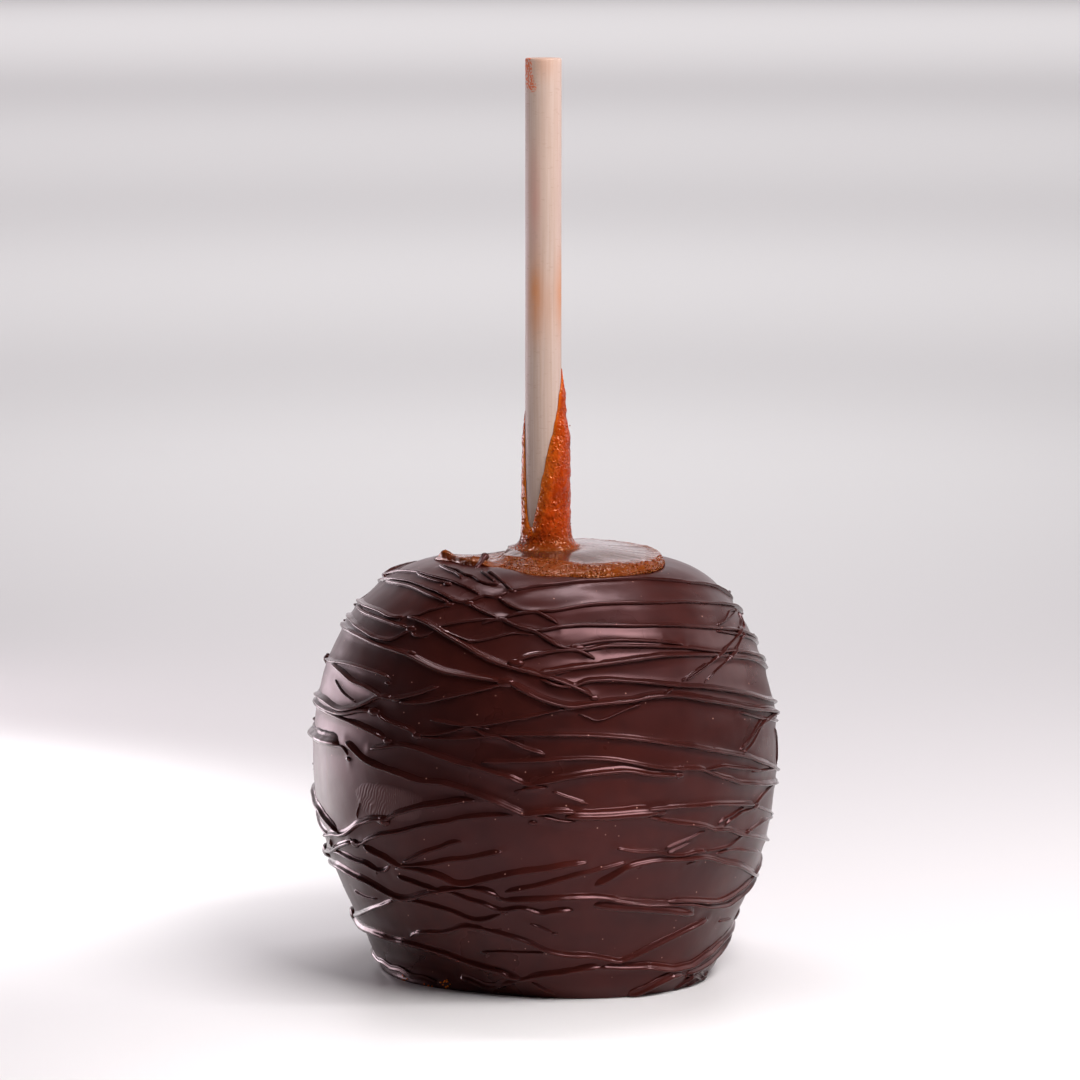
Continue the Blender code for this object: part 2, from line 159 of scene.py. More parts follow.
def dowel_profile():
    """The dowel's side from its top centre down to its point, as radius and height."""
    bottom = STICK_TOP - STICK_LENGTH
    line = [(0, STICK_TOP), (END_RING, STICK_TOP), (STICK_RADIUS - STICK_EDGE, STICK_TOP)]
    for turn in (30, 60, 90):
        part = radians(turn)
        line.append((STICK_RADIUS - STICK_EDGE * (1 - sin(part)), STICK_TOP - STICK_EDGE * (1 - cos(part))))
    start = bottom + POINT_LENGTH
    step = (STICK_TOP - STICK_EDGE - start) / STICK_RINGS
    line += [(STICK_RADIUS, STICK_TOP - STICK_EDGE - step * (i + 1)) for i in range(STICK_RINGS)]
    return line + [(POINT_RADIUS, bottom), (0, bottom)]


bm = bmesh.new()
line = [bm.verts.new((radius, 0, height)) for radius, height in dowel_profile()]
edges = [bm.edges.new(pair) for pair in zip(line, line[1:])]
bmesh.ops.spin(bm, geom=line + edges, axis=(0, 0, 1), cent=(0, 0, 0), angle=2 * pi,
               steps=STICK_SIDES, use_merge=True)
bmesh.ops.remove_doubles(bm, verts=bm.verts, dist=0.001)
bmesh.ops.recalc_face_normals(bm, faces=bm.faces)
for vert in bm.verts:
    around = Vector((vert.co.x, vert.co.y, 0))
    if around.length < 2:
        continue
    fibre = noise.noise(Vector((vert.co.x * 2.6, vert.co.y * 2.6, vert.co.z * 0.05)))
    wear = noise.noise(Vector((vert.co.x * 0.9 + 40, vert.co.y * 0.9, vert.co.z * 0.16)))
    vert.co -= around.normalized() * (FIBRE_DEPTH * (fibre + 0.6 * max(0.0, wear - 0.25)))
    if vert.co.z > STICK_TOP - 0.2:
        vert.co.z += 0.05 * noise.noise(Vector((vert.co.x * 1.7, vert.co.y * 1.7, 3)))
bmesh.ops.translate(bm, verts=bm.verts, vec=(STICK_X, 0, 0))
bmesh.ops.scale(bm, verts=bm.verts, vec=(MM, MM, MM))

birch, tree, shader, place = finish("birch", 0.62)
fibres = cloudy(tree, place, (2600, 2600, 60), 5.0, Roughness=0.6)
bands = cloudy(tree, place, (420, 420, 14), 3.0)
spots = cloudy(tree, place, (260, 260, 90), 3.0)
wood = mixed(tree, ramp(tree, fibres, (0.35, 0.0), (0.68, 1.0)), BIRCH_PALE, BIRCH_DARK)
wood = mixed(tree, ramp(tree, bands, (0.42, 0.0), (0.7, 0.55)), wood, BIRCH_DARK)
x, y, z = node(tree, "SeparateXYZ", {0: place}).outputs
# each stain, or patch of painted shade or painted highlight, laid over the wood
for across, half_across, up, half_up, strength, colour in STAINS_AND_PAINTED_LIGHT:
    patchy = ramp(tree, spots, (0.3, 0.6 * strength), (0.6, strength))
    stain_or_painted_light = product(tree, hump(tree, x, across, half_across), hump(tree, z, up, half_up), patchy)
    wood = mixed(tree, stain_or_painted_light, wood, colour)
streaks = cloudy(tree, place, (3200, 3200, 2300), 3.0)
for across, half_across, up, half_up in SMEARS:
    smeared = product(tree, hump(tree, x, across, half_across), hump(tree, z, up, half_up),
                      hump(tree, y, *SMEAR_FRONT), ramp(tree, streaks, (0.42, 0.0), (0.56, 1.0)))
    wood = mixed(tree, ramp(tree, smeared, (0.12, 0.0), (0.3, 1.0)), wood, CARAMEL_SMEAR)
flecks = cloudy(tree, place, (800, 800, 2600), 2.0)
wood = mixed(tree, ramp(tree, flecks, (0.62, 0.0), (0.7, 0.4)), wood, BIRCH_FLECK)
tree.links.new(wood, shader.inputs["Base Color"])
rough = node(tree, "Bump", {"Height": fibres, "Strength": 0.35, "Distance": 0.0001}).outputs[0]
tree.links.new(rough, shader.inputs["Normal"])
keep("dowel", bm, birch, "stick", "stick")

# ---- Caramel: the caramel-dipped apple. It shows as the thick pool round the stick, full of tiny
# bubbles, and as the thin sleeve it left on the stick when the apple was pulled out of the pot.
OUTLINE = [  # the coat's side from its foot to its rim: radius, height
    (28.8, 0.0), (30.3, 2.0), (32.3, 6.6), (35.9, 14.0), (38.9, 22.5),
    (40.5, 31.0), (40.9, 39.5), (40.1, 48.0), (37.8, 56.5), (33.4, 64.4),
    (28.0, 69.6), (23.5, 71.8), (20.5, 72.6), (17.0, 73.1), (13.0, 73.4),
]
FOOT_BULGE = 0.13
FOOT_REACH = 26.0
SHOULDER_DROP = 0.028
LEDGE_OUT = 2.8
LEDGE_AROUND = -52
LEDGE_SPREAD = 30
LEDGE_UP = 4.0
DIP_AROUND = -146
DIP_SPREAD = 25
DIP_DOWN = 1.2
# the rim, and below the pool's flat top, edge and slope, each every 30 degrees round from the front
RIM_RADIUS = [21.0, 22.8, 22.3, 20.7, 20.2, 20.0, 20.0, 20.0, 19.8, 19.8, 17.7, 16.8]
COAT_THICKNESS = 2.5
GAP = 0.3
FLOOR_UP = 2.2
POOL_HEIGHT = 74.8
POOL_FLAT = [14.5, 19.0, 20.6, 20.0, 19.0, 17.6, 14.0, 7.0, 6.2, 6.4, 8.5, 12.0]
POOL_EDGE = [74.5, 74.0, 73.8, 73.8, 74.1, 74.4, 74.2, 73.4, 73.3, 73.8, 74.2, 74.5]
POOL_SLUMP = [0.3, 0.1, 0.0, 0.0, 0.0, 0.1, 0.5, 1.0, 1.0, 1.0, 0.9, 0.6]
POOL_INNER = 6.3
# lumps where the pool ran over at the left: x, y, height, width
LUMPS = [(-17.6, -4.8, 2.0, 2.2), (-14.2, -8.6, 1.2, 2.2), (-11.6, -10.8, 1.2, 2.0)]
SLEEVE_FOOT = 75.0
TIP_AROUND = 83
TIP_SPREAD = 4.5
TIP_TALL = 2.4
SLEEVE_TOP = [  # degrees round, height
    (-180, 99.0), (-150, 98.4), (-120, 97.6), (-100, 98.5), (-90, 98.0), (-82, 95.0), (-76, 90.5),
    (-70, 86.0), (-64, 82.0), (-56, 79.6), (-46, 78.5), (-38, 78.8), (-30, 80.2), (-20, 82.6), (-10, 84.8),
    (-5, 86.8), (1, 88.2), (8, 90.4), (15, 92.4), (23, 93.8), (30, 94.8), (36, 96.6), (42, 97.4),
    (50, 99.4), (58, 101.8), (70, 103.4), (85, 103.8), (110, 103.0), (140, 101.4), (180, 99.0),
]
SLEEVE_WALL = 1.1
BORE_GAP = 0.02
CARAMEL_SIDES = 288
JOIN_WITHIN = 0.000002
BUBBLES = 780
SPECKS = [(-38, 1.7, 16), (-58, 0.6, 7), (-45, 0.5, 5)]  # degrees round, mm up the skin, how many
CARAMEL_BODY = (0.35, 0.04, 0.003, 1)
CARAMEL_RED = (0.25, 0.022, 0.002, 1)
CARAMEL_THIN = (0.75, 0.19, 0.015, 1)
CARAMEL_DEEP = (0.112, 0.028, 0.0038, 1)
CARAMEL_TOP = (0.06, 0.018, 0.008, 1)


def smooth_line(points, step):
    """Evenly spaced points on a smooth curve that passes through the given ones."""
    p = np.array(points, float)
    t = np.concatenate([[0.0], np.cumsum(np.linalg.norm(np.diff(p, axis=0), axis=1))])
    slope = np.gradient(p, t, axis=0)
    at = np.linspace(0.0, t[-1], max(3, round(t[-1] / step) + 1))
    i = np.clip(np.searchsorted(t, at, side="right") - 1, 0, len(t) - 2)
    h = (t[i + 1] - t[i])[:, None]
    u = (at - t[i])[:, None] / h
    return (
        (2 * u**3 - 3 * u**2 + 1) * p[i]
        + (u**3 - 2 * u**2 + u) * h * slope[i]
        + (3 * u**2 - 2 * u**3) * p[i + 1]
        + (u**3 - u**2) * h * slope[i + 1]
    )


profile = smooth_line(OUTLINE, 0.25)
along = np.concatenate([[0.0], np.cumsum(np.linalg.norm(np.diff(profile, axis=0), axis=1))])
TOP = len(along) - 1


def skin(around, up, lift=0.0):
    """Points on the coat, or lift mm off it: degrees from the front, mm up the skin from the foot."""
    around, up, lift = np.broadcast_arrays(around, up, lift)
    extra = np.maximum(up - along[TOP], 0)
    radius = np.interp(up, along, profile[:, 0]) - extra
    height = np.interp(up, along, profile[:, 1])
    ahead = np.interp(up + 0.5, along, profile[:, 0]) - np.interp(up - 0.5, along, profile[:, 0])
    rise = np.interp(up + 0.5, along, profile[:, 1]) - np.interp(up - 0.5, along, profile[:, 1])
    size = np.maximum(np.hypot(ahead, rise), 1e-9)
    out, over = rise / size, -ahead / size
    a = np.radians(around)
    foot = np.clip(1 - up / FOOT_REACH, 0, 1) ** 2
    stretch = 1 + foot * FOOT_BULGE * np.sin(2 * a) * (1 + np.cos(a)) / 2
    shoulder = np.exp(-(((up - 82) / 13.0) ** 2))
    stretch = stretch - SHOULDER_DROP * shoulder * np.maximum(0.0, -np.sin(a)) ** 2
    turn = ((around - LEDGE_AROUND + 180) % 360 - 180) / LEDGE_SPREAD
    ledge = LEDGE_OUT * np.exp(-turn * turn) * np.clip(1 - up / LEDGE_UP, 0, 1) ** 1.5
    radius = radius * stretch + ledge + lift * out
    turn = ((around - DIP_AROUND + 180) % 360 - 180) / DIP_SPREAD
    height = height - DIP_DOWN * np.exp(-turn * turn) * np.clip((up - 68) / 14, 0, 1) ** 2
    return np.stack([radius * np.sin(a), -radius * np.cos(a), height + lift * over], axis=-1)


def by_angle(values, around):
    """A value that changes smoothly round the stick, read from evenly spaced ones."""
    place = np.asarray(around, float) / (360 / len(values)) % len(values)
    first = np.floor(place).astype(int) % len(values)
    blend = (1 - np.cos((place % 1) * pi)) / 2
    values = np.array(values)
    return values[first] * (1 - blend) + values[(first + 1) % len(values)] * blend


def ripple(spots, scale, seed=0.0, octaves=3):
    """Soft noise between about -1 and 1 at each of the given places, in mm."""
    at = np.asarray(spots, float).reshape(-1, 3) / scale + seed
    return np.array([noise.fractal(Vector(spot), 1.0, 2.0, octaves) for spot in at])


def rim_up(around):
    """Distance up the skin to the chocolate's edge, which wanders and is nearer the stick in places."""
    around = np.asarray(around, float)
    radius = by_angle(RIM_RADIUS, around)
    a = np.radians(around)
    radius = radius + 0.18 * np.sin(7 * a + 1) + 0.1 * np.sin(13 * a + 2.2) + 0.05 * np.sin(29 * a)
    return np.interp(-radius, -profile[TOP // 2:, 0], along[TOP // 2:])


def rolled(sides, rows):
    """A flat sheet to be rolled round the axis: its mesh, and each vertex's turn and row."""
    bm = bmesh.new()
    bmesh.ops.create_grid(bm, x_segments=sides, y_segments=rows - 1, size=1)
    spots = np.array([vert.co[:] for vert in bm.verts])
    around = np.rint((spots[:, 0] + 1) / 2 * sides) / sides * 360 - 180
    return bm, around, np.rint((spots[:, 1] + 1) / 2 * (rows - 1)).astype(int)


def joined(bm):
    """Edges that lie on each other made one, and every face turned outwards."""
    bmesh.ops.remove_doubles(bm, verts=bm.verts, dist=JOIN_WITHIN)
    bmesh.ops.recalc_face_normals(bm, faces=bm.faces)


def set_down(bm, spots):
    """Every vertex of a rolled sheet put in its place in mm, and the sheet closed."""
    for vert, spot in zip(bm.verts, spots * MM):
        vert.co = spot
    joined(bm)


def sleeve_top(around):
    """Height of the sleeve's ragged top edge on the stick."""
    table = np.array(SLEEVE_TOP)
    a = np.radians(around)
    spots = np.stack([np.sin(a), -np.cos(a), 0 * a], axis=-1) * STICK_RADIUS
    tip = TIP_TALL * np.exp(-(((np.asarray(around) - TIP_AROUND) / TIP_SPREAD) ** 2))
    ragged = 0.6 * ripple(spots, 1.1, 7.7, 2) + 0.35 * ripple(spots, 0.5, 2.2, 2)
    return np.interp(around, table[:, 0], table[:, 1]) + tip + ragged


def placed_round(way, out, height):
    """Places out mm from the axis in the given directions and height mm up."""
    return way * np.reshape(out, (-1, 1)) + np.reshape(height, (-1, 1)) * np.array([0.0, 0.0, 1.0])


floor_height = float(skin(0, FLOOR_UP, -COAT_THICKNESS)[2]) + GAP
caramel_rows = [("floor", 0)]
caramel_rows += [("core", part) for part in np.linspace(0, 1, 14)]
caramel_rows += [("neck", lift) for lift in (-1.8, -1.0, -0.4)]
caramel_rows += [("bulge", turn) for turn in np.linspace(0, 90, 26)]
caramel_rows += [("pool", part) for part in np.linspace(0.04, 1, 24)]
caramel_rows += [("sleeve", part) for part in np.linspace(0.01, 1, 84) ** 1.15]
caramel_rows += [("lip", part) for part in (0.5, 1.0)]
caramel_rows += [("bore", part) for part in (0.97, 0.5, 0.0)]
caramel_rows += [("tip", 0), ("bottom", 0)]
bm, around, row = rolled(CARAMEL_SIDES, len(caramel_rows))
kind = np.array([name for name, _ in caramel_rows])[row]
part = np.array([value for _, value in caramel_rows], float)[row]
a = np.radians(around)
way = np.stack([np.sin(a), -np.cos(a), 0 * a], axis=-1)
inside = rim_up(around) + 0.15
edge = skin(around, inside)
reach = np.hypot(edge[:, 0], edge[:, 1])
spots = np.zeros((len(a), 3))
spots[kind == "floor"] = (0, 0, floor_height)
here = kind == "core"
level = (FLOOR_UP + GAP) * (1 - part) + inside * part
spots[here] = skin(around[here], level[here], -COAT_THICKNESS - GAP)
spots[here, 2] = np.maximum(spots[here, 2], floor_height)
here = kind == "neck"
spots[here] = skin(around[here], inside[here], part[here])

# the pool: a short steep edge at the right, a long slope at the front left, and nearly flat on top
wave = ripple(way * 20, 5.0, 3.1)
flat = by_angle(POOL_FLAT, around)
brim = by_angle(POOL_EDGE, around) + 0.12 * wave
slump = by_angle(POOL_SLUMP, around)
low = edge[:, 2] - 0.15
rising = np.sin(np.radians(part))
falling = np.cos(np.radians(part))
here = kind == "bulge"
out = flat + (reach + 0.35 + 0.25 * wave - flat) * (falling * (1 - slump) + (1 - rising) * slump)
rise = low + (brim - low) * (rising * (1 - slump) + (1 - falling) ** 1.6 * slump)
spots[here] = placed_round(way, out, rise)[here]
here = kind == "pool"
out = flat * (1 - part) + POOL_INNER * part
dome = np.clip(part * 1.2, 0, 1)
rise = brim + (POOL_HEIGHT - brim) * dome * dome * (3 - 2 * dome)
spots[here] = placed_round(way, out, rise)[here]
spots[here, 0] += (STICK_X * part)[here]
here = np.isin(kind, ["bulge", "pool"])
for x, y, tall, wide in LUMPS:
    near = np.hypot(spots[here, 0] - x, (spots[here, 1] - y) * 0.8) / wide
    spots[here, 2] += tall * np.exp(-near**2) * (1 + 0.35 * ripple(spots[here], 1.6, 6.1, 2))

# the sleeve: thicker at the right, drawn out thin towards its ragged top
here = kind == "sleeve"
top = sleeve_top(around)
level = (SLEEVE_FOOT + (top - SLEEVE_FOOT) * part)[here]
fine = np.linspace(-180, 180, 1441)
gap_round = ((around[here, None] - fine[None, :] + 180) % 360 - 180) * (STICK_RADIUS * pi / 180)
from_edge = np.hypot(gap_round, sleeve_top(fine)[None, :] - level[:, None]).min(axis=1)
side = np.sin(a[here])
narrow = np.clip((level - 93.5) / 5.0, 0, 1)
wall = SLEEVE_WALL + 0.5 * np.maximum(0, side) + 0.42 * np.minimum(0, side)
wall *= 1 - 0.5 * narrow * narrow * (3 - 2 * narrow)
taper = np.sqrt(np.clip(from_edge / 1.3, 0, 1))
flare = 1.7 * np.exp(-(level - SLEEVE_FOOT) / 0.6) + 0.5 * np.exp(-(level - SLEEVE_FOOT) / 2.2)
flare *= 0.84 + 0.16 * side
drift = ripple(placed_round(way[here], 4, level), 2.2, 1.3)
wall = np.maximum((wall + 0.14 * drift) * taper + flare * np.clip(from_edge / 0.8, 0, 1), 0.12)
spots[here] = placed_round(way[here], STICK_RADIUS + wall, level)
here = kind == "lip"
spots[here] = placed_round(way, STICK_RADIUS + BORE_GAP + 0.1 * (1 - part), top + BORE_GAP)[here]
here = kind == "bore"
bottom = STICK_TOP - STICK_LENGTH
level_here = (top - 0.05) * part + (bottom + POINT_LENGTH) * (1 - part)
spots[here] = placed_round(way, STICK_RADIUS + BORE_GAP, level_here)[here]
here = kind == "tip"
spots[here] = placed_round(way, POINT_RADIUS + 0.1, bottom - 0.1)[here]
spots[kind == "bottom"] = (0, 0, bottom - 0.1)
spots[np.isin(kind, ["sleeve", "lip", "bore", "tip", "bottom"]), 0] += STICK_X

# swellings and dents left by bubbles: rough on the sleeve and the slopes, calm on the flat top
shown = np.isin(kind, ["bulge", "pool", "sleeve"])
on_sleeve = kind[shown] == "sleeve"
calm = np.where(kind[shown] == "pool", np.where(spots[shown, 0] > 1, 0.1, 0.3), 1.0)
calm = np.where(on_sleeve & (part[shown] > 0.96), 0.2, calm)
push = placed_round(way[shown], np.where(on_sleeve, 1.0, 0.5), np.where(on_sleeve, 0.0, 0.8))
spots[shown] += push * (0.1 * ripple(spots[shown], 0.8, 5.0, 2) * calm)[:, None]

# where it is thin and pale, where it lies deep and dark, and where its top is still and smooth
thin = np.zeros(len(a))
lower = 0.05 + 0.4 * np.clip((96 - level) / 7, 0, 1)
thin[kind == "sleeve"] = (lower * np.clip(1 - from_edge / 2.0, 0, 1)
                          + 0.4 * np.clip(1 - from_edge / 0.35, 0, 1))
deep = np.where(np.isin(kind, ["bulge", "pool"]), 0.85, 0.0)
deep[kind == "sleeve"] = np.clip(1 - (level - SLEEVE_FOOT) / 4.5, 0, 1) ** 1.5 * 0.8
still = np.where(kind == "pool", np.clip(part / 0.18, 0, 1) * np.clip((1 - part) / 0.12, 0, 1), 0.0)
tint = bm.verts.layers.float_vector.new("tint")
for vert, shade in zip(bm.verts, np.stack([thin, deep, still], axis=-1)):
    vert[tint] = shade
set_down(bm, spots)

caramel, tree, shader, place = finish("caramel", 0.16, Subsurface_Weight=0.25, Subsurface_Scale=0.0015,
                                      Specular_IOR_Level=0.35, Specular_Tint=(1.0, 0.5, 0.28, 1))
shader.inputs["Subsurface Radius"].default_value = (1.0, 0.3, 0.08)
parts = node(tree, "SeparateXYZ", {0: node(tree, "Attribute", attribute_name="tint").outputs["Vector"]})
cloud = cloudy(tree, place, 240.0, 3.0)
grain = cloudy(tree, place, 1700.0, 3.0)
body = mixed(tree, ramp(tree, cloud, (0.4, 0.0), (0.64, 1.0)), CARAMEL_BODY, CARAMEL_RED)
body = mixed(tree, parts.outputs[1], body, CARAMEL_DEEP)
body = mixed(tree, parts.outputs[2], body, CARAMEL_TOP)
body = mixed(tree, parts.outputs[0], body, CARAMEL_THIN)
tree.links.new(body, shader.inputs["Base Color"])
tree.links.new(ramp(tree, grain, (0.35, 0.06), (0.7, 0.24)), shader.inputs["Roughness"])
bubble = node(tree, "TexVoronoi", {"Vector": place, "Scale": 2200.0}, feature="SMOOTH_F1")
foamy = cloudy(tree, place, 420.0, 2.0)
raised = product(tree, bubble.outputs["Distance"], ramp(tree, foamy, (0.4, 0.1), (0.6, 1.0)))
rough = node(tree, "Math", {0: parts.outputs[2], 1: -0.85, 2: 0.9}, operation="MULTIPLY_ADD").outputs[0]
bumps = node(tree, "Bump", {"Height": raised, "Strength": rough, "Distance": 0.0003}, invert=True).outputs[0]
tree.links.new(bumps, shader.inputs["Normal"])
keep("caramel_pool_and_sleeve", bm, caramel, "caramel", "caramel")


def ball(bm, middle, radius, fineness=1):
    """A small round drop at a place in mm: its vertices."""
    made = bmesh.ops.create_icosphere(bm, subdivisions=fineness, radius=radius * MM)["verts"]
    bmesh.ops.translate(bm, verts=made, vec=Vector(middle) * MM)
    return made


# the bubbles that set at the surface, thickest along the pool's lower edge and the sleeve's foot,
# and the specks of caramel spattered on the foot
foam = random.Random(11)
bm = bmesh.new()
tint = bm.verts.layers.float_vector.new("tint")
for index in range(BUBBLES):
    in_pool = index % 13 < 8
    if in_pool:
        turn = foam.uniform(-30, 84)
        bow = radians(foam.choice([foam.uniform(2, 20), foam.uniform(2, 80)]))
        low_here = skin(turn, float(rim_up(turn)) + 0.15)
        flat_here, brim_here, slump_here = (float(by_angle(table, turn))
                                            for table in (POOL_FLAT, POOL_EDGE, POOL_SLUMP))
        across = float(np.hypot(low_here[0], low_here[1])) + 0.35 - flat_here
        out = flat_here + across * (cos(bow) * (1 - slump_here) + (1 - sin(bow)) * slump_here)
        rise = float(low_here[2]) - 0.15
        rise += (brim_here - rise) * (sin(bow) * (1 - slump_here) + (1 - cos(bow)) * slump_here)
        middle = Vector((out * sin(radians(turn)), -out * cos(radians(turn)), rise))
    else:
        turn = foam.uniform(-60, 95)
        rise = SLEEVE_FOOT + foam.random() ** 1.5 * 22
        if rise > float(np.interp(turn, *np.array(SLEEVE_TOP).T)) - 1.2:
            continue
        wall_here = SLEEVE_WALL + 0.5 * max(0.0, sin(radians(turn)))
        wall_here += 1.1 * exp(-(rise - SLEEVE_FOOT) / 0.8) + 0.4 * exp(-(rise - SLEEVE_FOOT) / 3.0)
        out = STICK_RADIUS + wall_here - 0.1
        middle = Vector((out * sin(radians(turn)) + STICK_X, -out * cos(radians(turn)), rise))
    for vert in ball(bm, middle, foam.uniform(0.09, 0.18)):
        vert[tint] = (0, 0.8 if in_pool else 0.25, 0)
for turn, level, count in SPECKS:
    for _ in range(count):
        spot = skin(turn + foam.gauss(0, 1.1), max(0.4, level + foam.gauss(0, 0.5)), 0.22)
        for vert in ball(bm, spot, foam.uniform(0.1, 0.24)):
            vert[tint] = (0.9, 0, 0)
keep("caramel_bubbles", bm, caramel, "caramel", "caramel")

# ---- Chocolate coat: dark chocolate poured over the caramel, set in one skin about 2.5 mm thick
# with a flat foot where it stood to cool, and drawn up soft and thick under every drizzled strand.
LEFT_SHOULDER = [  # each strand: its width in mm, then degrees round and mm up the skin, by turns
    (0.9, [(-100, 74.4), (-90, 77), (-76, 79), (-64, 79.6), (-50, 79.3), (-41.5, 78.9), (-34.5, 78.1),
     (-28, 77), (-23, 75.8)]),
    (0.8, [(-68, 79.6), (-62, 79.1), (-53, 78.6), (-45.5, 78.2), (-40, 78)]),
    (0.9, [(-100, 73), (-84, 75.4), (-70, 76.6), (-60, 76.9), (-53, 76.6), (-46.5, 76), (-40.5, 75.4),
     (-35, 74.5), (-31, 73.8), (-27, 73.9), (-24, 74.8), (-22, 75.5), (-17, 75.5), (-13, 77)]),
    (1, [(-82, 75), (-68, 75.7), (-58, 75.9), (-50.5, 75.4), (-45.5, 74.8), (-41, 74.3), (-33, 73.4)]),
    (1.1, [(-100, 68.2), (-90, 69), (-78, 69.4), (-62, 69.5), (-53, 69), (-47, 69.5)]),
    (1.1, [(-86, 68.6), (-74, 68.4), (-62, 68.3), (-50, 67.8), (-43, 67.4)]),
    (0.6, [(-50, 68.2), (-47, 69.6), (-42, 70.2), (-39.5, 71.2), (-36.5, 71.9), (-33, 72.9),
     (-30.5, 73.6)]),
    (0.7, [(-43, 67.4), (-40, 66.2), (-36.5, 66.4), (-33, 68)]),
    (1.3, [(-47, 69.5), (-43, 69.3), (-35, 68.2), (-30, 67), (-24, 65.5), (-14, 62.6), (-8, 61.4),
     (-3.5, 60.7), (4, 59.2), (10.5, 57.2), (12.5, 56.4)]),
    (1, [(-100, 65.4), (-90, 66), (-77, 66), (-65, 65.4), (-52, 64.7), (-48, 65), (-45, 66), (-43, 66.9),
     (-42, 67.4)]),
    (1.2, [(-92, 64.4), (-82, 64.3), (-70, 64.4), (-63, 64.2), (-52, 63.5), (-40, 62.6), (-27, 60.3),
     (-18, 59.7), (-10, 59)]),
    (0.8, [(-100, 56.4), (-90, 57.5), (-77, 58.3), (-63.5, 59.1), (-54, 59), (-48, 58.7), (-43.5, 58.2)]),
    (1, [(-76, 58.2), (-66, 57.4), (-58, 56.3), (-52, 55.9), (-48.5, 55.4), (-45, 54.8), (-41, 54.9),
     (-34.5, 56), (-27.5, 57.9)]),
    (1.2, [(-100, 49.8), (-88, 51.2), (-74, 51.6), (-60, 51.3), (-52, 52.9), (-46, 54.8), (-41, 54.9)]),
    (1.3, [(-88, 50.4), (-70, 50.3), (-60, 50.6), (-52, 51.9), (-47, 52.4)]),
    (1, [(-40, 54.4), (-33, 54.6), (-25, 56), (-17, 57.5), (-10, 58.8)]),
    (0.8, [(-33, 68.3), (-24, 69.9), (-15, 70.8)]),
    (0.9, [(-26.5, 73.7), (-23, 72.8), (-19, 71.9), (-14, 70.8)]),
    (0.9, [(-62, 83.3), (-49.5, 82.2), (-43, 81.5), (-36, 80)]),
    (0.8, [(-60, 83.6), (-49, 83), (-42.5, 82.5), (-36, 81.3), (-31.5, 80.8), (-26, 79.4), (-22.5, 79),
     (-17.5, 79)]),
    (0.9, [(-29, 83.9), (-22, 81.7), (-18, 80), (-15, 78.7), (-12, 77.4), (-9, 77.6)]),
    (0.7, [(-33, 83.9), (-30, 83), (-23, 80.7), (-19, 79.2)]),
]
RIGHT_SHOULDER = [
    (1, [(-13, 77), (-9, 77.6), (-6, 78.2), (4, 79.2), (14, 80), (26, 80.2), (38, 79.8), (49.5, 78.6),
     (63, 76.3), (78, 74), (88, 71.7), (98, 68.4)]),
    (1.1, [(-17, 75.5), (-11, 73.4), (-6.5, 72.4), (-3, 72.2), (2, 70.6), (4.5, 69.6)]),
    (1.1, [(-13.5, 70.8), (-8, 71.9), (-3, 72.3), (3.5, 72.6), (11, 73.4), (20, 73.7), (34, 73.2),
     (51, 72.4), (62, 71.3), (71, 70.3), (82, 68.8), (98, 65.6)]),
    (1.1, [(-20, 69.6), (-13.5, 70.6), (-6, 68.6), (-2, 68.4), (4.5, 69.1), (10, 69.4), (17.6, 69.2),
     (25, 68.8), (34, 68.4), (41, 68), (50.5, 67.1), (60, 66.1), (66, 65.4), (72, 64.6), (82, 62.8),
     (98, 59.8)]),
    (0.6, [(-33, 67.9), (-28, 67.2), (-20, 66.2), (-15, 67), (-9.8, 67.9), (-2.2, 67.6)]),
    (1.2, [(-14, 70.7), (-8.5, 69.3), (-2.5, 68), (0.8, 66.6), (4, 65.4), (9, 64.6), (14, 62.9)]),
    (1.1, [(-9, 62.3), (-5.5, 63.4), (-1, 64.1), (5, 64.7), (11.5, 64.7), (15, 65.1), (26, 64.9),
     (34, 64.4), (42.5, 63.7), (48, 63), (55, 62.1), (61.6, 61.7), (66, 61.2), (71.5, 60.4), (77, 59.6),
     (86, 58.2), (98, 56)]),
    (0.9, [(4, 65.2), (9, 65.6), (16.5, 66.2), (27, 65.9), (33, 65.4), (42, 64.3)]),
    (1.4, [(-3, 60.5), (1, 60.8), (6.5, 61.4), (14.5, 62), (25, 62.5), (33.5, 62.8), (42, 62.5), (50, 61.9),
     (55, 61.5)]),
    (0.9, [(0.5, 60.2), (6, 61.1), (11.5, 62)]),
    (1.1, [(-2, 59.9), (4, 58.4), (7, 58.4), (11, 59.2), (14, 59.3), (24, 58.7), (31.5, 57.9), (39, 57.1),
     (44, 56.6), (54, 55.2), (64, 53.6), (73, 51.9), (84, 50.4), (98, 48.4)]),
    (1.4, [(-10, 59.2), (-5.5, 57.6), (-1.8, 56.4), (3, 55.3), (6, 54.9), (11.5, 55.2), (16.8, 55.4),
     (22, 55.5), (26.5, 55.9), (36.8, 55.5), (43, 54.5), (50, 53.4), (56, 52.4), (60.5, 51.6), (66, 50.8),
     (74, 49.8), (98, 46.4)]),
    (0.9, [(57, 66), (66, 64.6), (76, 63), (88, 61), (98, 59.3)]),
    (0.8, [(50, 62), (60, 60.8), (70, 59.6), (80, 58), (98, 55)]),
    (0.9, [(54, 61.8), (60, 60.7), (66, 60), (73, 58.9), (80, 57.5), (92, 55.4)]),
    (0.9, [(56, 51.4), (66, 49.4), (76, 47.9), (88, 46.4)]),
]
